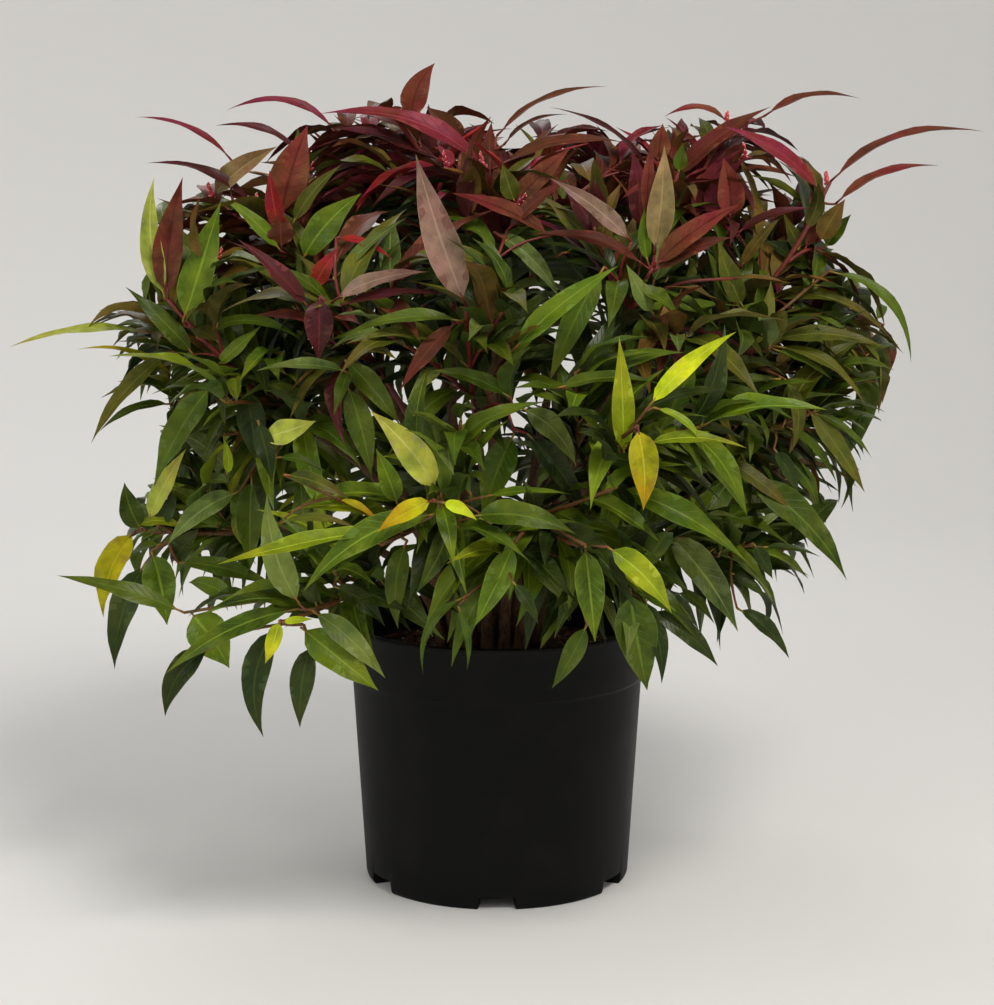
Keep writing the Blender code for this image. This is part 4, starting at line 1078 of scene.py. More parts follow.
    def trim(self, path: Array, marks: Array) -> Optional[Array]:
        """A twig cut off where its last leaf or side twig leaves it, or nothing if it bears none."""
        fine = trace(path, 1 * MM)
        held = np.flatnonzero(nearest(fine, close_by(fine, marks, self.trim_reach)) < self.trim_reach)
        if not len(held) or held[-1] < 3:
            return None
        kept = fine[:held[-1] + 1]
        places = np.linspace(0, len(kept) - 1, len(path))
        return blend(kept, np.arange(len(kept)), places)

    def trim_mass(self, mass: Mass) -> None:
        """Cut the bare ends off one spray's twigs, the finest first, and off its stem."""
        roots = [leaf.root for leaf in mass.leaves]
        starts: list[Array] = []
        for twigs in (mass.fine_twigs, mass.twigs):
            kept = []
            for path in twigs[::-1]:
                cut = self.trim(path, np.array(roots + starts))
                if cut is not None:
                    kept.append(cut)
                    starts.append(path[0])
            twigs[:] = kept
        cut = self.trim(mass.stem, np.array(roots + starts))
        if cut is not None:
            mass.stem = cut

    def grow(self) -> None:
        """Grow the first twigs and leaves as the solids have them, then fill in between."""
        indices = range(len(self.masses))
        for index in indices:
            self.grow_twigs(index)
        for index in indices:
            self.grow_leaves(index)
        self.show_leaves()
        self.sights = self.sight_lines()
        self.thin_out()
        self.wood = np.concatenate([trace(hook) for hooks in self.hooks for hook in hooks])
        for leaf in (leaf for mass in self.masses for leaf in mass.leaves):
            self.space.add(leaf.points())
        for filling in ROUNDS:
            for index in indices:
                self.fill_twigs(index, filling)
            for index in indices:
                self.fill_mass(index, filling)
            LOG.info("%d leaves so far", self.space.count)
        for mass in self.masses:
            self.trim_mass(mass)


def new_object(name: str, data: bpy.types.ID, place: Place = (0.0, 0.0, 0.0)) -> Piece:
    """A new object in the scene."""
    item = bpy.data.objects.new(name, data)
    item.location = place
    bpy.context.scene.collection.objects.link(item)
    return item


@dataclass
class Surface:
    """A closed surface as whole arrays: points, the corners of its faces, and how many each has."""

    points: Array
    corners: Array
    sizes: Array
    maps: dict[str, Array] = field(default_factory=dict)
    values: dict[str, Array] = field(default_factory=dict)
    sharp: Optional[Array] = None

    def joined(self, other: "Surface") -> "Surface":
        """This surface and another as one."""
        corners = np.concatenate([self.corners, other.corners + len(self.points)])
        sizes = np.concatenate([self.sizes, other.sizes])
        return Surface(np.concatenate([self.points, other.points]), corners, sizes)

    def piece(self, name: str, material: Material, slot: str) -> Piece:
        """Make this surface a piece of the scene that rides on the part.

        Args:
            name: The piece's name.
            material: Its finish.
            slot: The record's material slot; not used.

        Returns:
            The new object.
        """
        mesh = bpy.data.meshes.new(name)
        mesh.vertices.add(len(self.points))
        mesh.vertices.foreach_set("co", self.points.astype(np.float32).ravel())
        mesh.loops.add(len(self.corners))
        mesh.loops.foreach_set("vertex_index", self.corners.astype(np.int32))
        mesh.polygons.add(len(self.sizes))
        starts = np.concatenate([[0], np.cumsum(self.sizes)[:-1]])
        mesh.polygons.foreach_set("loop_start", starts.astype(np.int32))
        mesh.update(calc_edges=True)
        mesh.validate()
        for key, values in self.maps.items():
            mesh.uv_layers.new(name=key).data.foreach_set("uv", values.astype(np.float32).ravel())
        for key, values in self.values.items():
            mesh.attributes.new(key, "FLOAT", "POINT").data.foreach_set("value", values.astype(np.float32))
        mesh.shade_smooth()
        if self.sharp is not None:
            mesh.set_sharp_from_angle(angle=float(self.sharp))
        mesh.materials.append(material)
        item = new_object(name, mesh)
        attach(item, BODY)
        LOG.info("%s: %d faces", name, len(self.sizes))
        return item


def grid_corners(count: int, rings: int, sides: int, turn: bool = True) -> Array:
    """The corners of quads between neighbouring rings, for many tubes at once.

    Args:
        count: How many tubes there are.
        rings: The rings of each tube.
        sides: The points in a ring.
        turn: Whether rings run the usual way round, anticlockwise about the tube's way.

    Returns:
        The corners as an array of tubes by quads by four.
    """
    ring, side = np.meshgrid(np.arange(rings - 1), np.arange(sides), indexing="ij")
    after = (side + 1) % sides
    quads = np.stack([ring * sides + side, ring * sides + after, (ring + 1) * sides + after,
                      (ring + 1) * sides + side], axis=-1).reshape(-1, 4)
    if not turn:
        quads = quads[:, ::-1]
    return quads[None] + (np.arange(count) * rings * sides)[:, None, None]


def ring_frames(paths: Array) -> tuple[Array, Array]:
    """Two directions square to each path at each point, turned as little as possible along it."""
    ways = units(np.gradient(paths, axis=1))
    start = np.where(np.abs(ways[:, 0, 2:3]) < 0.8, [[0.0, 0.0, 1.0]], [[1.0, 0.0, 0.0]])
    across = np.empty_like(paths)
    across[:, 0] = units(np.cross(ways[:, 0], start))
    for ring in range(1, paths.shape[1]):
        last = across[:, ring - 1]
        across[:, ring] = units(last - ways[:, ring] * (last * ways[:, ring]).sum(axis=-1, keepdims=True))
    return across, np.cross(ways, across)


def tubes(paths: Array, radii: Array, sides: int) -> Surface:
    """Tapering tubes along many paths at once, closed by a flat face at both ends.

    A point is its path's point plus radius times (cosine of the turn times one square direction
    plus sine of the turn times the other).

    Args:
        paths: Tubes by rings by three.
        radii: Tubes by rings, or tubes by rings by sides where the section isn't round.
        sides: The points in a ring.

    Returns:
        All the tubes as one surface.
    """
    count, rings = paths.shape[:2]
    across, other = ring_frames(paths)
    turns = FULL_TURN * np.arange(sides) / sides
    round_way = across[:, :, None] * np.cos(turns)[:, None] + other[:, :, None] * np.sin(turns)[:, None]
    if radii.ndim == 2:
        radii = radii[:, :, None]
    points = paths[:, :, None] + round_way * radii[..., None]
    quads = grid_corners(count, rings, sides)
    base = (np.arange(count) * rings * sides)[:, None]
    first = np.arange(sides)[::-1][None] + base
    last = (rings - 1) * sides + np.arange(sides)[None] + base
    corners = np.concatenate([quads.reshape(-1), first.reshape(-1), last.reshape(-1)])
    sizes = np.concatenate([np.full(quads.shape[0] * quads.shape[1], 4), np.full(2 * count, sides)])
    return Surface(points.reshape(-1, 3), corners, sizes)


def revolve(radii: Array, heights: Array, turns: Array) -> Surface:
    """A closed surface turned round Z: radius and height are given at each profile point and turn.

    A point is (radius times cosine of the turn, radius times sine of the turn, height). The profile
    runs from a pole on the axis, out and down to a pole under it.

    Args:
        radii: Profile points by turns, without the two poles.
        heights: The same for the height, with the poles' heights taken from the first and last rows.
        turns: The angle of each column.

    Returns:
        The turned surface.
    """
    rings, sides = radii.shape
    points = np.stack([radii * np.cos(turns), radii * np.sin(turns), heights], axis=-1).reshape(-1, 3)
    poles = np.array([[0.0, 0.0, heights[0].mean()], [0.0, 0.0, heights[-1].mean()]])
    quads = grid_corners(1, rings, sides, turn=False).reshape(-1)
    side = np.arange(sides)
    after = (side + 1) % sides
    last = (rings - 1) * sides
    top = np.stack([np.full(sides, rings * sides), side, after], axis=1).reshape(-1)
    low = np.stack([np.full(sides, rings * sides + 1), last + after, last + side], axis=1).reshape(-1)
    corners = np.concatenate([quads, top, low])
    sizes = np.concatenate([np.full((rings - 1) * sides, 4), np.full(2 * sides, 3)])
    return Surface(np.concatenate([points, poles]), corners, sizes)


def srgb(red: int, green: int, blue: int) -> Colour:
    """A colour as light, from the usual 0 to 255 screen values."""
    screen = np.array([red, green, blue]) / 255
    light = np.where(screen <= 0.04045, screen / 12.92, ((screen + 0.055) / 1.055) ** 2.4)
    return tuple(float(value) for value in light)


class Effect(Enum):
    """The effects that several materials share, each a node group that is built once."""

    LEAF = "leaf_skin"
    BARK = "bark_skin"
    CRUMB = "crumb_skin"


@dataclass
class Graph:
    """A node tree, with the steps by which effects and materials are wired in it."""

    tree: Tree

    @classmethod
    def of_effect(cls, effect: Effect, colours: Sequence[str], values: dict[str, float]) -> "Graph":
        """A new node group with its inputs, and Color, Roughness and Height as outputs."""
        tree = bpy.data.node_groups.new(effect.value, "ShaderNodeTree")
        for name in colours:
            tree.interface.new_socket(name, in_out="INPUT", socket_type="NodeSocketColor")
        for name, value in values.items():
            socket = tree.interface.new_socket(name, in_out="INPUT", socket_type="NodeSocketFloat")
            socket.default_value = value
        tree.interface.new_socket("Color", in_out="OUTPUT", socket_type="NodeSocketColor")
        for name in ("Roughness", "Height"):
            tree.interface.new_socket(name, in_out="OUTPUT", socket_type="NodeSocketFloat")
        return cls(tree)

    def given(self) -> bpy.types.NodeOutputs:
        """The sockets that carry the group's inputs."""
        return self.tree.nodes.new("NodeGroupInput").outputs

    def put_out(self, colour: Socket, roughness: Socket, height: Socket) -> Tree:
        """Join the results to the group's outputs."""
        out = self.tree.nodes.new("NodeGroupOutput")
        for name, value in (("Color", colour), ("Roughness", roughness), ("Height", height)):
            self.tree.links.new(value, out.inputs[name])
        return self.tree

    def add(self, kind: str, inputs: Optional[dict] = None, **settings) -> bpy.types.Node:
        """Add a node, set its options, and set or link its inputs.

        Args:
            kind: The node's type without its usual first word.
            inputs: A value or a socket to link, for each input by name or number.
            **settings: The node's own options.

        Returns:
            The new node.
        """
        item = self.tree.nodes.new("ShaderNode" + kind)
        for name, value in settings.items():
            setattr(item, name, value)
        for key, value in (inputs or {}).items():
            socket = item.inputs[key]
            if isinstance(value, Socket):
                self.tree.links.new(value, socket)
            else:
                socket.default_value = (*value, 1.0) if socket.type == "RGBA" else value
        return item

    def maths(self, operation: str, *values: Input, clamp: bool = False) -> Socket:
        """A Math node's result for one to three values or sockets."""
        return self.add("Math", dict(enumerate(values)), operation=operation, use_clamp=clamp).outputs[0]

    def less(self, first: Input, second: Input) -> Socket:
        """One value less another."""
        return self.maths("SUBTRACT", first, second)

    def times(self, first: Input, second: Input, clamp: bool = False) -> Socket:
        """One value times another."""
        return self.maths("MULTIPLY", first, second, clamp=clamp)

    def fit(self, value: Input, scale: Input, shift: Input) -> Socket:
        """A value times a scale, plus a shift."""
        return self.maths("MULTIPLY_ADD", value, scale, shift)

    def ramp(self, value: Input, low: float, high: float, first: float = 0.0, last: float = 1.0) -> Socket:
        """A value eased from first, at low, to last, at high."""
        inputs = {"Value": value, "From Min": low, "From Max": high, "To Min": first, "To Max": last}
        return self.add("MapRange", inputs, interpolation_type="SMOOTHSTEP").outputs[0]

    def mix(self, factor: Input, first: Socket, second: Socket) -> Socket:
        """Two colours mixed by a factor."""
        return self.add("Mix", {0: factor, 6: first, 7: second}, data_type="RGBA").outputs[2]

    def toned(self, colour: Socket, value: Input, hue: Input = 0.5) -> Socket:
        """A colour made darker or lighter, and turned a little in hue."""
        return self.add("HueSaturation", {"Hue": hue, "Value": value, "Color": colour}).outputs[0]

    def solid(self) -> Socket:
        """The object's own coordinates in metres."""
        return self.add("TexCoord").outputs["Object"]

    def noise(self, coordinates: Socket, scale: Input, detail: float, rough: float = 0.55) -> Socket:
        """A Noise texture's value at some coordinates."""
        inputs = {"Vector": coordinates, "Scale": scale, "Detail": detail, "Roughness": rough}
        return self.add("TexNoise", inputs).outputs["Fac"]


def leaf_group() -> Tree:
    """The skin of a leaf: midrib, side veins, a pale edge that is partly the margin's own colour and partly
    a painted rim of light, mottling, and a flush towards the tip.

    The leaf map gives the share along the leaf, and the share across it, plus one underneath.
    """
    graph = Graph.of_effect(Effect.LEAF, ("Top", "Underside", "Vein", "Flush"), {"Satin": 0.4})
    given, solid = graph.given(), graph.solid()
    maths, times, fit, ramp = graph.maths, graph.times, graph.fit, graph.ramp
    along, side, _ = graph.add("SeparateXYZ", {0: graph.add("UVMap", uv_map="leaf").outputs[0]}).outputs
    under = maths("GREATER_THAN", side, 1.0)
    across = times(maths("ABSOLUTE", graph.less(maths("FRACT", side), 0.5)), 2.0)
    midrib = ramp(across, 0.03, 0.12, 1.0, 0.0)
    phase = fit(across, -1.9, times(along, 12.0))
    wave = maths("ABSOLUTE", maths("SINE", times(phase, math.pi)))
    veins = times(ramp(wave, 0.0, 0.30, 1.0, 0.0), ramp(across, 0.80, 0.97, 1.0, 0.0))
    # Partly painted rim light: the edge is paled towards the vein colour, both for the margin's own paler
    # colour and for light along the rim.
    edge = ramp(across, 0.93, 0.99)
    mottle = graph.noise(solid, 110.0, 5.0)
    cloud = graph.noise(solid, 32.0, 2.0)
    tone, flush = (graph.add("Attribute", attribute_name=name).outputs["Fac"] for name in ("tone", "flush"))
    colour = graph.mix(under, given["Top"], given["Underside"])
    reach = maths("ADD", ramp(along, 0.25, 0.95), graph.less(cloud, 0.5))
    colour = graph.mix(times(flush, reach, clamp=True), colour, given["Flush"])
    value = fit(tone, 0.50, fit(mottle, 1.3, fit(cloud, 1.3, -0.58)))
    colour = graph.toned(colour, value, fit(cloud, -0.10, 0.55))
    lines = maths("MAXIMUM", times(midrib, 0.62), times(veins, 0.24))
    lines = maths("MAXIMUM", lines, times(edge, 0.38))
    satin = fit(under, 0.16, fit(mottle, 0.16, graph.less(given["Satin"], 0.08)))
    height = fit(midrib, -0.8, fit(veins, -0.55, times(mottle, 0.8)))
    return graph.put_out(graph.mix(lines, colour, given["Vein"]), satin, height)


def bark_group() -> Tree:
    """The skin of wood: streaks along it in a second colour, patches lighter and darker at random, and pale
    breathing pores.
    """
    graph = Graph.of_effect(Effect.BARK, ("Base", "Streak", "Pore"), {"Satin": 0.6, "Pores": 0.5})
    given, solid = graph.given(), graph.solid()
    long_way = graph.add("Mapping", {"Vector": solid, "Scale": (1.0, 1.0, 0.22)}).outputs[0]
    streak = graph.noise(long_way, 420.0, 4.0, 0.65)
    cloud = graph.noise(solid, 45.0, 2.0)
    cells = graph.add("TexVoronoi", {"Vector": solid, "Scale": 380.0}).outputs["Distance"]
    pores = graph.times(graph.ramp(cells, 0.10, 0.24, 1.0, 0.0), given["Pores"])
    colour = graph.mix(graph.ramp(streak, 0.42, 0.66), given["Base"], given["Streak"])
    colour = graph.toned(graph.mix(pores, colour, given["Pore"]), graph.fit(cloud, 0.7, 0.65))
    satin = graph.fit(streak, 0.25, graph.less(given["Satin"], 0.12))
    return graph.put_out(colour, satin, graph.fit(pores, 0.5, streak))


def crumb_group() -> Tree:
    """The skin of loose or moulded stuff: grains at two scales, dusty on its high spots."""
    values = {"Satin": 0.8, "Grain": 900.0, "Dusty": 0.3, "Patch": 30.0}
    graph = Graph.of_effect(Effect.CRUMB, ("Base", "Dust"), values)
    given, solid = graph.given(), graph.solid()
    grain = graph.noise(solid, given["Grain"], 3.0, 0.6)
    patch = graph.noise(solid, given["Patch"], 4.0, 0.6)
    dust = graph.times(graph.ramp(patch, 0.46, 0.74), given["Dusty"])
    dust = graph.fit(graph.ramp(grain, 0.55, 0.75), graph.times(given["Dusty"], 0.5), dust)
    satin = graph.fit(patch, 0.22, graph.less(given["Satin"], 0.11))
    return graph.put_out(graph.mix(dust, given["Base"], given["Dust"]), satin, grain)


GROUPS = {Effect.LEAF: leaf_group, Effect.BARK: bark_group, Effect.CRUMB: crumb_group}


def dressed(name: str, effect: Effect, given: dict, bump: float, depth: float, shine: float) -> Material:
    """A material whose colour, roughness and relief come from one shared effect.

    Args:
        name: The material's name.
        effect: The effect that it uses.
        given: The effect's inputs by name.
        bump: The strength of its relief.
        depth: The depth of its relief in metres.
        shine: The Principled shader's specular level.

    Returns:
        The material.
    """
    group = bpy.data.node_groups.get(effect.value) or GROUPS[effect]()
    material = bpy.data.materials.new(name)
    material.use_nodes = True
    graph = Graph(material.node_tree)
    skin = graph.add("Group", given, node_tree=group).outputs
    relief = graph.add("Bump", {"Strength": bump, "Distance": depth, "Height": skin["Height"]}).outputs[0]
    main = graph.tree.nodes["Principled BSDF"].inputs
    for key, socket in (("Base Color", skin["Color"]), ("Roughness", skin["Roughness"]), ("Normal", relief)):
        graph.tree.links.new(socket, main[key])
    main["Specular IOR Level"].default_value = shine
    return material


@dataclass(frozen=True)
class LeafFinish:
    """One tint's finish: upper side, underside, veins and pale edge, the flush at the tip, and how satin it
    is; the pale edge is partly a painted rim of light.
    """

    top: Colour
    under: Colour
    vein_and_rim: Colour
    flush: Colour
    satin: float
    slot: str
    flushed: float

    def material(self, name: str) -> Material:
        """The finish as a material."""
        given = {"Top": self.top, "Underside": self.under, "Vein": self.vein_and_rim, "Flush": self.flush}
        return dressed(name, Effect.LEAF, given | {"Satin": self.satin}, 0.55, 0.6 * MM, 0.15)


# For each tint the screen values of its upper side, underside, veins and pale edge, and flush, how satin it
# is, its slot in the record and how far the flush reaches. The pale edge is partly the margin's own colour
# and partly a painted rim of light.
LEAF_ROWS = (
    # The deep green is partly a painted shade: it also goes to leaves that lie deep inside the crown.
    (DEEP, (40, 52, 14), (56, 68, 32), (66, 84, 30), (64, 44, 20), 0.32, "green_leaves", 0.15),
    (GREEN, (66, 82, 14), (78, 94, 38), (98, 120, 36), (88, 74, 18), 0.36, "green_leaves", 0.15),
    (FRESH, (84, 104, 16), (98, 120, 40), (132, 154, 46), (130, 108, 18), 0.36, "green_leaves", 0.15),
    # The sage is partly a painted sheen: its greyer, paler green stands in for the gloss of leaves that
    # catch the light.
    (SAGE, (90, 104, 44), (104, 116, 68), (132, 146, 78), (96, 84, 42), 0.32, "green_leaves", 0.15),
    (LIME, (112, 128, 14), (132, 150, 40), (172, 188, 52), (176, 136, 14), 0.42, "lime_leaves", 0.3),
    (CITRUS, (172, 186, 16), (170, 178, 56), (206, 212, 78), (192, 144, 14), 0.44, "lime_leaves", 0.3),
    (PALE, (158, 168, 60), (156, 160, 86), (190, 192, 110), (150, 86, 34), 0.38, "lime_leaves", 0.3),
    (AMBER, (160, 158, 8), (156, 148, 36), (190, 178, 52), (184, 94, 8), 0.44, "lime_leaves", 0.8),
    (OLIVE, (80, 84, 18), (94, 90, 40), (118, 118, 46), (98, 52, 22), 0.42, "olive_leaves", 0.4),
    (KHAKI, (100, 82, 26), (108, 82, 40), (126, 100, 48), (108, 46, 24), 0.44, "olive_leaves", 0.5),
    (BRONZE, (80, 40, 24), (108, 64, 38), (120, 62, 40), (96, 28, 24), 0.44, "bronze_leaves", 0.5),
    (RUST, (110, 54, 36), (118, 68, 44), (76, 28, 20), (104, 32, 30), 0.46, "bronze_leaves", 0.6),
    (TAN, (140, 116, 76), (134, 108, 72), (164, 142, 98), (132, 74, 44), 0.38, "bronze_leaves", 0.4),
    (WINE, (68, 24, 24), (92, 46, 42), (106, 42, 42), (90, 22, 28), 0.38, "wine_leaves", 0.4),
    (CRIMSON, (106, 30, 36), (126, 52, 56), (146, 56, 62), (100, 20, 30), 0.4, "wine_leaves", 0.3),
    (SCARLET, (138, 32, 26), (146, 54, 44), (172, 66, 50), (134, 24, 34), 0.4, "wine_leaves", 0.3),
    # The silvery rose is partly a painted sheen: its rose-tan top is lightened, above its underside, for the
    # satin gloss.
    (SILVER, (132, 104, 88), (112, 80, 66), (166, 138, 118), (84, 44, 38), 0.3, "wine_leaves", 0.6),
)
LEAF_FINISHES = {
    tint: LeafFinish(*(srgb(*colour) for colour in colours), satin, slot, flushed)
    for tint, *colours, satin, slot, flushed in LEAF_ROWS
}


@dataclass
class Leaves:
    """The leaf blades: closed, folded along the midrib, arched, waved and drawn out to a fine tip."""

    crown: Crown
    rows: int = 10
    stalk_share: float = 0.055
    widest: float = 0.72
    taper: float = 1.32
    width_scale: float = 1.04
    fold: float = 0.42
    fold_spread: float = 0.14
    curl: float = 0.10
    wave: float = 0.17
    twist: float = 0.55
    sway: float = 0.11
    arch: float = 0.05
    hook: float = 0.10
    thickness: float = 0.55 * MM
    rib_depth: float = 0.5 * MM
    seed: int = 77

    columns = (-1.0, -0.5, 0.0, 0.5, 1.0)

    def __post_init__(self) -> None:
        """Work out the faces of one leaf, which every leaf repeats."""
        ring = len(self.columns) + 1
        quads = grid_corners(1, self.rows, ring, turn=False).reshape(-1, 4) + 1
        side = np.arange(ring)
        after = (side + 1) % ring
        tip = self.rows * ring + 1
        last = (self.rows - 1) * ring + 1
        root = np.stack([np.zeros(ring, int), 1 + side, 1 + after], axis=1)
        end = np.stack([last + side, np.full(ring, tip), last + after], axis=1)
        self.corners = np.concatenate([quads.reshape(-1), root.reshape(-1), end.reshape(-1)])
        self.sizes = np.concatenate([np.full(len(quads), 4), np.full(2 * ring, 3)])
        self.shares = np.linspace(0.0, 1.0, self.rows + 2)[1:-1] ** 0.92

    def outline(self, share: Array) -> Array:
        """The half width along a leaf: the share to one power times what is left to another."""
        peak = self.widest / (self.widest + self.taper)
        full = peak ** self.widest * (1 - peak) ** self.taper
        return share ** self.widest * (1 - share) ** self.taper / full

    def flat_map(self) -> Array:
        """Where each corner lies on a leaf: the share along, and across it, plus one underneath."""
        ring = len(self.columns) + 1
        along = np.concatenate([[0.0], np.repeat(self.shares, ring), [1.0]])[self.corners]
        column = np.append((np.array(self.columns) + 1) / 2, 0.5)
        across = np.concatenate([[0.5], np.tile(column, self.rows), [0.5]])[self.corners]
        place = np.concatenate([[0], np.tile(np.arange(ring), self.rows), [0]])[self.corners]
        face = np.repeat(np.arange(len(self.sizes)), self.sizes)
        below = np.bincount(face, weights=place == ring - 1) > 0
        return np.stack([along, across + below[face]], axis=1)

    def surface(self, leaves: Sequence[Leaf], draw: np.random.Generator, flushed: float) -> Surface:
        """Every leaf of one tint at once.

        A point is the midrib's parabola at its share, plus the outline's width times the column
        along the twisted cross direction, plus a lift of fold, curl and wave along the normal.

        Args:
            leaves: The leaves.
            draw: Where the small differences between leaves come from.
            flushed: How far the flush reaches on the most flushed leaf.

        Returns:
            The blades as one surface.
        """
        count = len(leaves)
        root, bend, tip, normal = (np.array([getattr(leaf, key) for leaf in leaves])
                                   for key in ("root", "bend", "tip", "normal"))
        half = np.array([leaf.half_width * (1.0 if leaf.drawn else self.width_scale) for leaf in leaves])
        calm = np.array([0.3 if leaf.drawn else 1.0 for leaf in leaves])
        length = np.linalg.norm(tip - root, axis=1)
        spread = draw.uniform(-1, 1, (7, count))
        share = self.stalk_share + (1 - self.stalk_share) * np.concatenate([[0.0], self.shares, [1.0]])
        left = (1 - share)[:, None]
        middle = (left ** 2)[None] * root[:, None] + (2 * left * share[:, None])[None] * bend[:, None]
        middle = middle + (share[:, None] ** 2)[None] * tip[:, None]
        across = units(np.cross(normal, tip - root))
        blade = np.concatenate([[0.0], self.shares, [1.0]])
        bow = (spread[0] * self.sway * length * calm)[:, None] * (4 * blade * (1 - blade))[None] * 0.5
        drop = (self.hook * length * (0.6 + 0.5 * spread[1]) * calm)[:, None] * (blade ** 3)[None]
        drop = drop - (self.arch * length * calm)[:, None] * (4 * blade * (1 - blade) ** 2)[None]
        middle = middle + across[:, None] * bow[..., None] - normal[:, None] * drop[..., None]
        ways = units(np.gradient(middle, axis=1))
        lift = units(np.cross(ways, across[:, None] + 0 * ways))
        turn = (spread[2] * self.twist)[:, None] * (blade - 0.25)[None]
        cross = units(np.cross(lift, ways))
        side_way = cross * np.cos(turn)[..., None] + lift * np.sin(turn)[..., None]
        up_way = lift * np.cos(turn)[..., None] - cross * np.sin(turn)[..., None]
        width = half[:, None] * self.outline(blade)[None]
        column = np.array(self.columns)
        fold = (self.fold + self.fold_spread * spread[3])[:, None, None]
        rise = fold * np.abs(column) - self.curl * (1 + spread[4])[:, None, None] * column ** 2
        ripple = np.sin(FULL_TURN * (2.2 * blade[:, None] + 0.5 * spread[5][:, None, None]) + 1.3 * column)
        rise = rise + self.wave * ripple * column ** 2
        upper = middle[:, :, None] + side_way[:, :, None] * (width[..., None] * column)[..., None]
        upper = upper + up_way[:, :, None] * (width[..., None] * rise)[..., None]
        slim = np.minimum(1.0, width / (2 * MM))[..., None]
        lower = middle - up_way * (self.thickness + self.rib_depth * (1 - blade)[None, :, None]) * slim
        rings = np.concatenate([upper[:, 1:-1], lower[:, 1:-1, None]], axis=2).reshape(count, -1, 3)
        points = np.concatenate([middle[:, :1], rings, middle[:, -1:]], axis=1)
        each = points.shape[1]
        corners = (self.corners[None] + (np.arange(count) * each)[:, None]).reshape(-1)
        flat = self.flat_map()
        maps = {"leaf": np.tile(flat, (count, 1)), "OFBake": self.atlas(flat, count)}
        tone = np.repeat(0.5 + 0.5 * spread[6], each)
        flush = np.repeat(flushed * (0.5 + 0.5 * draw.uniform(-1, 1, count)), each)
        sizes = np.tile(self.sizes, count)
        values = {"tone": tone, "flush": flush}
        return Surface(points.reshape(-1, 3), corners, sizes, maps, values, math.radians(50))

    @staticmethod
    def atlas(flat: Array, count: int) -> Array:
        """A map where every leaf has a tile of its own: its top on one half, its underside on the other."""
        columns = max(1, int(math.ceil(math.sqrt(count / 2))))
        rows = int(math.ceil(count / columns))
        tile = np.arange(count)
        margin = 0.06
        along = margin + (1 - 2 * margin) * flat[:, 0]
        below = flat[:, 1] > 1.0
        inner = flat[:, 1] - below
        across = 0.5 * below + 0.5 * (margin + (1 - 2 * margin) * inner)
        left = (tile % columns)[:, None] + along[None]
        low = (tile // columns)[:, None] + across[None]
        return np.stack([left / columns, low / rows], axis=-1).reshape(-1, 2)

    def build(self) -> list[Piece]:
        """One piece of leaves for each tint."""
        pieces = []
        draw = np.random.default_rng(self.seed)
        masses = self.crown.masses
        for tint, finish in LEAF_FINISHES.items():
            owners = [(mass, leaf) for mass in masses for leaf in mass.leaves if leaf.tint is tint]
            if not owners:
                continue
            surface = self.surface([leaf for _, leaf in owners], draw, finish.flushed)
            material = finish.material(f"leaf_{tint.value}")
            piece = surface.piece(f"leaves_{tint.value}", material, finish.slot)
            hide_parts(*sorted({f"foliage_{mass.name}" for mass, _ in owners}))
            pieces.append(piece)
        return pieces


@dataclass(frozen=True)
class StemFinish:
    """Wood or young stem: its base, streaks and pores."""

    base: Colour
    streak: Colour
    pore: Colour
    satin: float
    pores: float
    bump: float

    def material(self, name: str) -> Material:
        """The finish as a material."""
        given = {"Base": self.base, "Streak": self.streak, "Pore": self.pore, "Satin": self.satin}
        return dressed(name, Effect.BARK, given | {"Pores": self.pores}, self.bump, 0.6 * MM, 0.4)


CANE_BARK = StemFinish(srgb(90, 62, 36), srgb(52, 34, 20), srgb(126, 100, 68), 0.78, 0.5, 0.6)
TWIG_BARK = StemFinish(srgb(98, 74, 34), srgb(112, 46, 26), srgb(136, 112, 66), 0.58, 0.3, 0.3)
YOUNG_STEM = StemFinish(srgb(112, 40, 28), srgb(92, 30, 28), srgb(150, 80, 56), 0.46, 0.25, 0.2)
GREEN_STALK = StemFinish(srgb(126, 116, 36), srgb(144, 72, 36), srgb(166, 148, 72), 0.46, 0.2, 0.2)


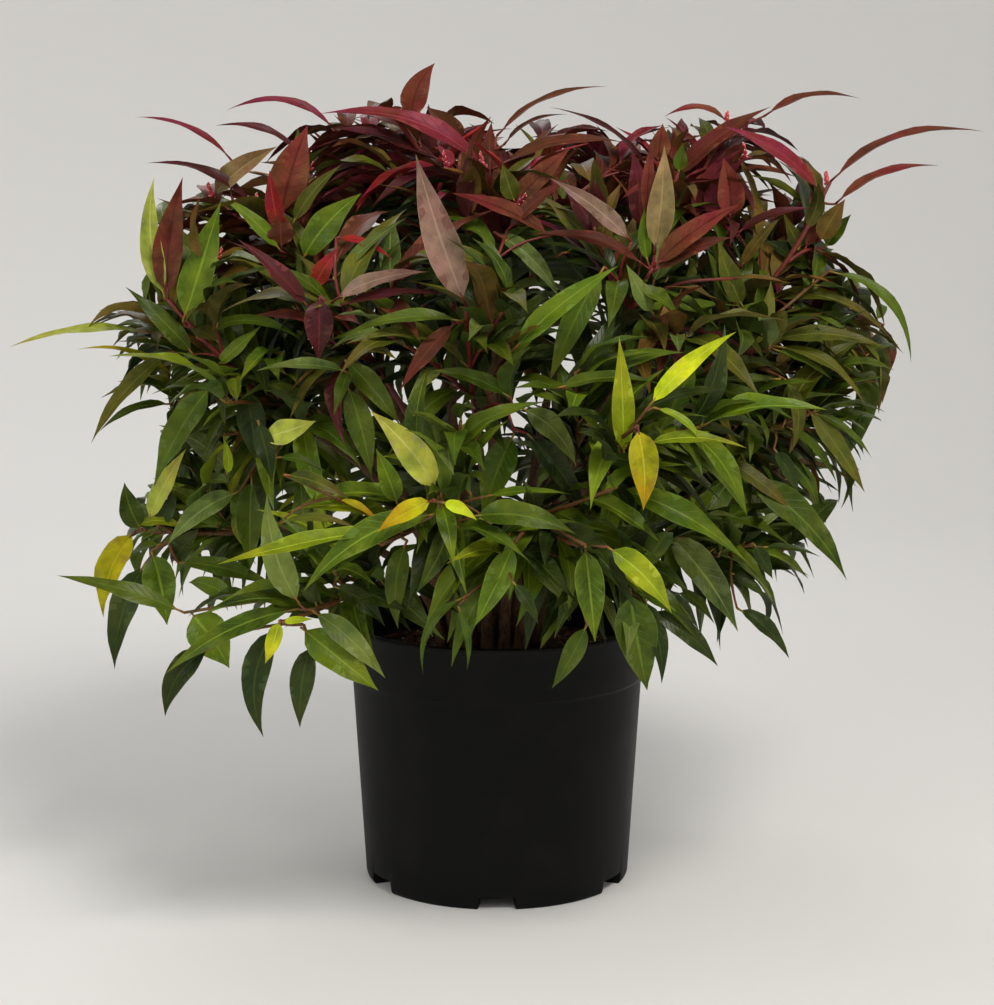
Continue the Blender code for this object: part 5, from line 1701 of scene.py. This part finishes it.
@dataclass
class Wood:
    """The canes with their bark, the stems and twigs, and the stalks of the leaves."""

    crown: Crown
    cane_rings: int = 46
    cane_sides: int = 12
    cane_tip: float = 2.5 * MM
    cane_flare: float = 0.55
    flare_length: float = 10 * MM
    sunk: float = 4 * MM
    node_spacing: float = 21 * MM
    node_swell: float = 0.14
    node_width: float = 0.07
    ridge: float = 0.055
    fine_ridge: float = 0.035
    knob: float = 0.045
    stem_radius: float = 2.3 * MM
    stem_tip: float = 1.4 * MM
    twig_radius: float = 1.7 * MM
    twig_tip: float = 1.1 * MM
    fine_radius: float = 1.15 * MM
    fine_tip: float = 0.8 * MM
    stalk_radius: float = 0.95 * MM
    stalk_tip: float = 0.6 * MM
    stalk_share: float = 0.10
    young_height: float = 0.425
    seed: int = 31

    def canes(self) -> Surface:
        """The canes: a radius that tapers, flares at the foot, swells at nodes and has ridges.

        The radius is the taper times one plus the flare, plus a swelling at each node, plus ridges
        that wind slowly round the cane, plus small random knobs.
        """
        draw = np.random.default_rng(self.seed)
        shares = np.linspace(0, self.crown.cane_share, self.cane_rings)
        paths = np.stack([bezier(mass.curve, shares) for mass in self.crown.masses])
        spans = np.linalg.norm(np.diff(paths, axis=1), axis=2)
        along = np.concatenate([np.zeros((len(paths), 1)), np.cumsum(spans, axis=1)], axis=1)
        taper = np.linspace(self.crown.cane_radius, self.cane_tip, self.cane_rings)[None]
        flare = 1 + self.cane_flare * np.exp(-along / self.flare_length)
        phase = draw.uniform(0, 1, (3, len(paths), 1))
        node = np.abs((along / self.node_spacing + phase[0]) % 1.0 - 0.5)
        swell = 1 + self.node_swell * np.exp(-(node / self.node_width) ** 2)
        turns = FULL_TURN * np.arange(self.cane_sides) / self.cane_sides
        wind = 3 * turns + FULL_TURN * phase[1][..., None] + along[..., None] * 60
        fine_wind = 5 * turns + along[..., None] * 140
        ridges = 1 + self.ridge * np.sin(wind) + self.fine_ridge * np.sin(fine_wind)
        knobs = 1 + self.knob * draw.standard_normal((*along.shape, self.cane_sides)).clip(-2, 2)
        radii = (taper * flare * swell)[..., None] * ridges * knobs
        paths[:, 0, 2] -= self.sunk
        return tubes(paths, radii, self.cane_sides)

    def rods(self, paths: Sequence[Array], first: float, last: float, rings: int, sides: int) -> Surface:
        """Round twigs along rounded paths, tapering from first to last, with small swellings."""
        draw = np.random.default_rng(self.seed + rings)
        smooth = np.stack([trace(path, count=rings) for path in paths])
        for _ in range(2):
            smooth[:, 1:-1] = 0.25 * smooth[:, :-2] + 0.5 * smooth[:, 1:-1] + 0.25 * smooth[:, 2:]
        radii = np.linspace(first, last, rings)[None] * (1 + 0.10 * draw.uniform(-1, 1, smooth.shape[:2]))
        return tubes(smooth, radii, sides)

    def stalks(self, leaves: Sequence[Leaf]) -> Surface:
        """The leaf stalks: four-sided rods along the first stretch of each midrib."""
        ends = (np.array([getattr(leaf, key) for leaf in leaves]) for key in ("root", "bend", "tip"))
        root, bend, tip = (points[:, None] for points in ends)
        share = np.linspace(0.0, self.stalk_share, 3)[None, :, None]
        paths = (1 - share) ** 2 * root + 2 * (1 - share) * share * bend + share ** 2 * tip
        radii = np.broadcast_to(np.linspace(self.stalk_radius, self.stalk_tip, 3), paths.shape[:2])
        return tubes(paths, radii, 4)

    def build(self) -> list[Piece]:
        """The canes, the older and younger stems and twigs, and the stalks."""
        masses = self.crown.masses
        canes = self.canes().piece("canes", CANE_BARK.material("cane_bark"), "cane_bark")
        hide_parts(*(f"bough_{mass.name}" for mass in masses))
        pieces = [canes]
        young = [mass for mass in masses if mass.stem[-1][2] > self.young_height]
        older = [mass for mass in masses if mass.stem[-1][2] <= self.young_height]
        for name, some, finish in (("young", young, YOUNG_STEM), ("older", older, TWIG_BARK)):
            material = finish.material(f"{name}_stem")
            stems = self.rods([mass.stem for mass in some], self.stem_radius, self.stem_tip, 16, 8)
            twigs = [twig for mass in some for twig in mass.twigs]
            twigs = self.rods(twigs, self.twig_radius, self.twig_tip, 9, 6)
            fine = [twig for mass in some for twig in mass.fine_twigs]
            fine = self.rods(fine, self.fine_radius, self.fine_tip, 6, 5)
            piece = stems.joined(twigs).joined(fine).piece(f"twigs_{name}", material, "cane_bark")
            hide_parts(*(f"foliage_{mass.name}" for mass in some))
            pieces.append(piece)
        greens = (DEEP, GREEN, FRESH, SAGE, LIME, CITRUS, PALE, OLIVE)
        leaves = [leaf for mass in masses for leaf in mass.leaves]
        for name, some, finish in (
            ("red", [leaf for leaf in leaves if leaf.tint not in greens], YOUNG_STEM),
            ("green", [leaf for leaf in leaves if leaf.tint in greens], GREEN_STALK),
        ):
            material = finish.material(f"{name}_stalk")
            pieces.append(self.stalks(some).piece(f"stalks_{name}", material, "cane_bark"))
        return pieces


@dataclass
class Buds:
    """Short clusters of pink flower buds with pale tips, at the ends of the upper shoots."""

    crown: Crown
    lowest: float = 0.44
    length: float = 13 * MM
    buds: int = 11
    bud_length: float = 3.4 * MM
    bud_radius: float = 1.25 * MM
    stalk_radius: float = 0.7 * MM
    seed: int = 12

    def stalk_paths(self) -> Array:
        """The clusters' own stalks, from the ends of the upper stems and twigs, up and a little out."""
        draw = np.random.default_rng(self.seed)
        paths = []
        for mass in self.crown.masses:
            for hook in [mass.stem] + mass.twigs[:2]:
                if hook[-1][2] < self.lowest:
                    continue
                ahead = unit(hook[-1] - hook[-2])
                start = trace(hook, 1 * MM)[-5]
                side = unit(draw.uniform(-1, 1, 3))
                way = unit(0.6 * ahead + 0.7 * side + UP * 0.5)
                bend = start + unit(ahead + side) * 0.4 * self.length
                tip = start + way * self.length * draw.uniform(0.7, 1.2)
                paths.append(bezier((start, bend, tip), np.linspace(0, 1, 7)))
        return np.array(paths)

    def bud_paths(self, stalks: Array) -> Array:
        """The buds' own axes: spaced along each stalk, round it by the golden angle, tilted forward."""
        share = np.linspace(0.25, 1.0, self.buds)
        at = share * (stalks.shape[1] - 1)
        low = np.minimum(at.astype(int), stalks.shape[1] - 2)
        part = (at - low)[None, :, None]
        starts = stalks[:, low] * (1 - part) + stalks[:, low + 1] * part
        across, other = ring_frames(stalks)
        turn = (np.arange(self.buds) * GOLDEN_ANGLE)[None, :, None]
        ahead = units(stalks[:, low + 1] - stalks[:, low])
        side = across[:, low] * np.cos(turn) + other[:, low] * np.sin(turn)
        way = units(side * (1.1 - 0.9 * share[None, :, None]) + ahead)
        steps = np.linspace(0, 1, 6)[None, None, :, None]
        paths = starts[:, :, None] + way[:, :, None] * steps * self.bud_length
        return paths.reshape(-1, 6, 3)

    def build(self) -> list[Piece]:
        """The stalks with their pink buds, and the pale tips of the buds."""
        stalks = self.stalk_paths()
        paths = self.bud_paths(stalks)
        swell = np.array([0.35, 0.8, 1.0, 0.92, 0.66, 0.25]) * self.bud_radius
        body = tubes(paths, np.broadcast_to(swell, paths.shape[:2]), 7)
        rods = tubes(stalks, np.full(stalks.shape[:2], self.stalk_radius), 5)
        ends = paths[:, -1:] + (paths[:, -1:] - paths[:, -2:-1]) * np.linspace(-0.2, 0.9, 4)[None, :, None]
        shrink = np.array([0.30, 0.42, 0.30, 0.10]) * self.bud_radius
        points = tubes(ends, np.broadcast_to(shrink, ends.shape[:2]), 6)
        pink = StemFinish(srgb(196, 62, 70), srgb(176, 40, 60), srgb(230, 150, 140), 0.38, 0.3, 0.2)
        white = StemFinish(srgb(236, 206, 192), srgb(226, 170, 160), srgb(246, 232, 222), 0.4, 0.3, 0.2)
        return [
            body.joined(rods).piece("flower_buds", pink.material("bud_pink"), "wine_leaves"),
            points.piece("bud_tips", white.material("bud_white"), "wine_leaves"),
        ]


@dataclass(frozen=True)
class CrumbFinish:
    """Moulded or loose stuff: its base and dust, how satin and dusty it is, and its grain and relief."""

    base: Colour
    dust: Colour
    dusty: float
    satin: float = 0.88
    grain: float = 1100.0
    patch: float = 160.0
    bump: float = 0.8
    depth: float = 0.9 * MM
    shine: float = 0.3

    def material(self, name: str) -> Material:
        """The finish as a material."""
        given = {"Base": self.base, "Dust": self.dust, "Dusty": self.dusty, "Satin": self.satin}
        given |= {"Grain": self.grain, "Patch": self.patch}
        return dressed(name, Effect.CRUMB, given, self.bump, self.depth, self.shine)


POT_PLASTIC = CrumbFinish(srgb(14, 14, 14), srgb(52, 49, 45), 0.10, 0.50, 1500.0, 22.0, 0.10, 0.2 * MM, 0.08)
SOIL = CrumbFinish(srgb(52, 36, 26), srgb(96, 74, 54), 0.35)
DARK_CHIP = CrumbFinish(srgb(66, 44, 30), srgb(104, 80, 60), 0.4)
RED_CHIP = CrumbFinish(srgb(112, 66, 42), srgb(140, 104, 78), 0.3)
PEARL = CrumbFinish(srgb(214, 206, 190), srgb(160, 148, 128), 0.3)


@dataclass
class Pot:
    """The nursery pot: a thin turned shell with a stepped rim band and a notched foot ring."""

    height: float = 192 * MM
    rim_radius: float = 110.5 * MM
    band_radius: float = 108.2 * MM
    foot_radius: float = 94.5 * MM
    wall: float = 1.9 * MM
    lip: float = 4.5 * MM
    band_low: float = 151 * MM
    groove: float = 1.3 * MM
    floor: float = 9.5 * MM
    floor_thick: float = 2.6 * MM
    corner: float = 5.0 * MM
    lean: float = 9.3 * MM
    foot_width: float = 10 * MM
    notches: int = 6
    notch_angle: float = math.radians(16)
    notch_height: float = 9.2 * MM
    notch_edge: float = math.radians(0.25)
    edge_round: float = 0.7 * MM
    sides: int = 180

    def wall_radius(self, height: float) -> float:
        """The outer radius of the plain wall, which leans out evenly."""
        return self.band_radius - self.groove - self.lean * (self.band_low - height) / self.band_low

    def profile(self) -> list[tuple[float, float]]:
        """The section from the middle of the inner floor over the rim to the middle of the underside."""
        fillet = self.edge_round
        turn = np.radians(np.linspace(0, 180, 9))
        top_middle = (self.rim_radius + self.band_radius - self.wall) / 2
        top_half = (self.rim_radius - self.band_radius + self.wall) / 2
        roll = [
            (top_middle - top_half * math.cos(a), self.height - fillet * 2 * (1 - math.sin(a)))
            for a in turn
        ]
        bend = np.radians(np.linspace(-5, -80, 7))
        corner_at = self.wall_radius(self.corner)
        corner = [
            (corner_at - self.corner * 0.5 * (1 - math.cos(a)), self.corner * (1 + math.sin(a)))
            for a in bend
        ]
        inner_floor = self.floor + self.floor_thick
        wall_heights = np.linspace(self.band_low - 1.5 * MM, self.corner + 1 * MM, 9)
        return [
            (40 * MM, inner_floor),
            (self.wall_radius(inner_floor) - self.wall - 1 * MM, inner_floor),
            (self.wall_radius(inner_floor) - self.wall, inner_floor + 1 * MM),
            (self.wall_radius(80 * MM) - self.wall, 80 * MM),
            (self.band_radius - self.groove - self.wall, self.band_low),
            (self.band_radius - self.wall, self.band_low + 3 * MM),
            *roll,
            (self.rim_radius, self.height - self.lip + 1.2 * MM),
            (self.rim_radius - 0.3 * MM, self.height - self.lip + 0.6 * MM),
            (self.band_radius + 0.9 * MM, self.height - self.lip + 0.3 * MM),
            (self.band_radius + 0.6 * MM, self.height - self.lip - 0.4 * MM),
            (self.band_radius + 0.3 * MM, 0.5 * (self.height + self.band_low)),
            (self.band_radius, self.band_low + 2.4 * MM),
            (self.band_radius - 0.2 * MM, self.band_low + 1.5 * MM),
            (self.band_radius - 0.9 * MM, self.band_low + 0.7 * MM),
            (self.band_radius - self.groove, self.band_low),
            *((self.wall_radius(at), at) for at in wall_heights),
            *corner,
            (self.foot_radius, 0.0),
            (self.foot_radius - self.foot_width, 0.0),
            (self.foot_radius - self.foot_width, self.floor),
            (40 * MM, self.floor),
        ]

    def turns(self) -> Array:
        """The columns' angles: even all round, with two close together at each side of a notch."""
        even = np.arange(self.sides) * FULL_TURN / self.sides
        middles = -math.pi / 2 + FULL_TURN * np.arange(self.notches) / self.notches
        reaches = [self.notch_angle / 2 + shift * self.notch_edge for shift in (-1, 1)]
        edges = np.concatenate([middles + way * reach for way in (-1, 1) for reach in reaches]) % FULL_TURN
        apart = np.abs((even[:, None] - edges[None] + math.pi) % FULL_TURN - math.pi).min(axis=1)
        return np.sort(np.concatenate([even[apart > 2 * self.notch_edge], edges]))

    def build(self) -> list[Piece]:
        """The shell: the profile turned round, with its foot raised between the notches' sides."""
        turns = self.turns()
        profile = np.array(self.profile())
        radii = np.repeat(profile[:, :1], len(turns), axis=1)
        heights = np.repeat(profile[:, 1:], len(turns), axis=1)
        step = FULL_TURN / self.notches
        off = np.abs((turns + math.pi / 2 + step / 2) % step - step / 2)
        notched = (off < self.notch_angle / 2)[None] & (radii > self.foot_radius - self.foot_width - 1 * MM)
        heights = np.where(notched, np.maximum(heights, self.notch_height), heights)
        surface = revolve(radii, heights, turns)
        surface.sharp = math.radians(40)
        piece = surface.piece("pot_shell", POT_PLASTIC.material("black_plastic"), "black_plastic")
        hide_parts("pot")
        return [piece]


@dataclass
class Compost:
    """The compost in the pot: a crumbly dome, with bark chips and pale perlite on it."""

    pot: Pot
    crown_top: float = 175 * MM
    edge: float = 169 * MM
    clear: float = 2.7 * MM
    low: float = 12.4 * MM
    rings: int = 60
    sides: int = 150
    lumps: float = 1.9 * MM
    chips: int = 620
    chip_length: float = 7.5 * MM
    pearls: int = 150
    pearl_radius: float = 1.5 * MM
    seed: int = 5

    def reach(self) -> float:
        """The radius of the compost's top."""
        return self.pot.wall_radius(self.edge) - self.clear

    def dome(self, radius: Array) -> Array:
        """The height of the smooth dome at a radius: a raised cosine from the middle to the edge."""
        share = np.clip(radius / self.reach(), 0, 1)
        return self.edge + (self.crown_top - self.edge) * 0.5 * (1 + np.cos(math.pi * share))

    def relief(self, across: Array, along: Array) -> Array:
        """Small lumps: sums of sines at four scales, with random ways and phases."""
        draw = np.random.default_rng(self.seed)
        height = np.zeros(across.shape)
        for scale, share in ((180, 0.8), (420, 0.6), (900, 0.45), (1900, 0.3)):
            for _ in range(5):
                way, phase = draw.uniform(0, FULL_TURN, 2)
                height += share * np.sin(scale * (across * math.cos(way) + along * math.sin(way)) + phase)
        return height / 4.5

    def ground(self) -> Surface:
        """The body of the compost: a lumpy top on a plain plug that fills the pot."""
        turns = np.arange(self.sides) * FULL_TURN / self.sides
        spread = np.linspace(0.02, 1.0, self.rings)[:, None] * self.reach() * np.ones(self.sides)
        lumps = self.relief(spread * np.cos(turns), spread * np.sin(turns)) * self.lumps
        top = self.dome(spread) + lumps - self.lumps
        wall = self.pot.wall_radius(self.pot.band_low) - self.clear - 0.5 * MM
        foot = self.pot.wall_radius(self.low) - self.clear - 0.5 * MM
        side = np.array([wall, foot, 40 * MM])[:, None] * np.ones(self.sides)
        drop = np.array([self.pot.band_low - 2 * MM, self.low, self.low])[:, None] * np.ones(self.sides)
        return revolve(np.concatenate([spread, side]), np.concatenate([top, drop]), turns)

    def scatter(self, count: int, draw: np.random.Generator) -> Array:
        """Places on the compost, spread evenly at random."""
        radius = np.sqrt(draw.uniform(0, 1, count)) * (self.reach() - 5 * MM)
        turn = draw.uniform(0, FULL_TURN, count)
        height = self.dome(radius) - 0.6 * self.lumps
        return np.stack([radius * np.cos(turn), radius * np.sin(turn), height], axis=1)

    def bits(self, count: int, length: float, slim: float, draw: np.random.Generator) -> Surface:
        """Irregular bits: short five-sided tubes with an uneven radius, lying at all angles."""
        places = self.scatter(count, draw)
        turn = draw.uniform(0, FULL_TURN, count)
        tilt = draw.uniform(-0.35, 0.35, count)
        way = np.stack([np.cos(turn) * np.cos(tilt), np.sin(turn) * np.cos(tilt), np.sin(tilt)], axis=1)
        size = length * draw.uniform(0.4, 1.0, count)
        steps = np.linspace(-0.5, 0.5, 4)[None, :, None]
        paths = places[:, None] + way[:, None] * steps * size[:, None, None]
        swell = np.array([0.55, 1.0, 0.9, 0.45])[None, :, None]
        radii = slim * size[:, None, None] * swell * draw.uniform(0.55, 1.25, (count, 4, 5))
        return tubes(paths, radii, 5)

    def build(self) -> list[Piece]:
        """The compost, its dark and its reddish chips, and the pearls."""
        draw = np.random.default_rng(self.seed + 1)
        stuff = (
            ("compost_body", self.ground(), SOIL),
            ("dark_chips", self.bits(self.chips, self.chip_length, 0.26, draw), DARK_CHIP),
            ("red_chips", self.bits(self.chips // 2, self.chip_length, 0.22, draw), RED_CHIP),
            ("pearls", self.bits(self.pearls, 2 * self.pearl_radius, 0.5, draw), PEARL),
        )
        pieces = [surface.piece(name, finish.material(name), "compost") for name, surface, finish in stuff]
        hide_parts("compost")
        return pieces


@dataclass
class Studio:
    """The camera at the picture's place, a pale floor that sweeps up all round, and soft lights."""

    frame_width: int = 994
    focal_pixels: float = 2303.0
    sensor: float = 36.0
    eye: Place = EYE
    pitch: float = math.radians(8.447)
    floor_radius: float = 1.8
    sweep: float = 3.0
    wall_top: float = 4.5
    floor_sides: int = 96
    sky_strength: float = 0.28

    def camera(self) -> None:
        """A camera with the picture's angle, height and field of view."""
        data = bpy.data.cameras.new("camera")
        data.sensor_fit = "HORIZONTAL"
        data.sensor_width = self.sensor
        data.lens = self.sensor * self.focal_pixels / self.frame_width
        item = new_object("camera", data, self.eye)
        item.rotation_euler = (math.pi / 2 - self.pitch, 0.0, 0.0)
        bpy.context.scene.camera = item

    def floor(self) -> None:
        """A flat round floor whose edge sweeps up in a quarter circle to a wall."""
        turn = np.linspace(0, math.pi / 2, 24)
        edge = self.floor_radius + self.sweep
        radius = np.concatenate([[0.4, 1.2], self.floor_radius + self.sweep * np.sin(turn), [edge]])
        height = np.concatenate([[0.0, 0.0], self.sweep * (1 - np.cos(turn)), [self.wall_top]])
        sides = self.floor_sides
        turns = np.arange(sides) * FULL_TURN / sides
        rings = len(radius)
        spread = radius[:, None] * np.stack([np.cos(turns), np.sin(turns)])[:, None]
        points = np.stack([*spread, height[:, None] * np.ones(sides)], axis=-1).reshape(-1, 3)
        quads = [tuple(map(int, quad)) for quad in grid_corners(1, rings, sides, turn=False)[0]]
        middle = len(points)
        faces = quads + [(middle, side, (side + 1) % sides) for side in range(sides)]
        mesh = bpy.data.meshes.new("studio_floor")
        mesh.from_pydata(np.concatenate([points, [[0.0, 0.0, 0.0]]]).tolist(), [], faces)
        mesh.shade_smooth()
        item = new_object("studio_floor", mesh)
        material = bpy.data.materials.new("pale_floor")
        material.use_nodes = True
        shader = material.node_tree.nodes["Principled BSDF"].inputs
        shader["Base Color"].default_value = (0.82, 0.81, 0.79, 1.0)
        shader["Roughness"].default_value = 0.9
        shader["Specular IOR Level"].default_value = 0.2
        mesh.materials.append(material)

    def lamp(self, name: str, place: Place, size: float, power: float, tone: Colour) -> None:
        """A large round soft light of a given width."""
        data = bpy.data.lights.new(name, "POINT")
        data.shadow_soft_size = size / 2
        data.energy = power
        data.color = tone
        new_object(name, data, place)

    def build(self) -> None:
        """The camera, floor, lights and the soft light of the room."""
        self.camera()
        self.floor()
        self.lamp("key", (0.7, -1.4, 2.0), 0.8, 132.0, (1.0, 0.98, 0.94))
        self.lamp("fill", (-1.6, -1.3, 1.2), 1.0, 30.0, (0.98, 0.99, 1.0))
        self.lamp("rim", (-0.6, 1.7, 1.8), 1.2, 46.0, (1.0, 1.0, 1.0))
        world = bpy.data.worlds.new("room")
        world.use_nodes = True
        sky = world.node_tree.nodes["Background"].inputs
        sky["Color"].default_value = (1.0, 1.0, 1.0, 1.0)
        sky["Strength"].default_value = self.sky_strength
        bpy.context.scene.world = world
        bpy.context.scene.view_settings.view_transform = "Standard"


def main() -> None:
    """Grow the crown, build and dress every piece, and log how many leaves and pieces there are."""
    logging.basicConfig(level=logging.INFO, format="%(message)s")
    Studio().build()
    crown = Crown()
    crown.grow()
    LOG.info("%d leaves", sum(len(mass.leaves) for mass in crown.masses))
    pot = Pot()
    parts = (pot, Compost(pot), Wood(crown), Leaves(crown), Buds(crown))
    pieces = [piece for part in parts for piece in part.build()]
    LOG.info("%d pieces", len(pieces))
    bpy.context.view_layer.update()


if __name__ == "__main__":
    main()
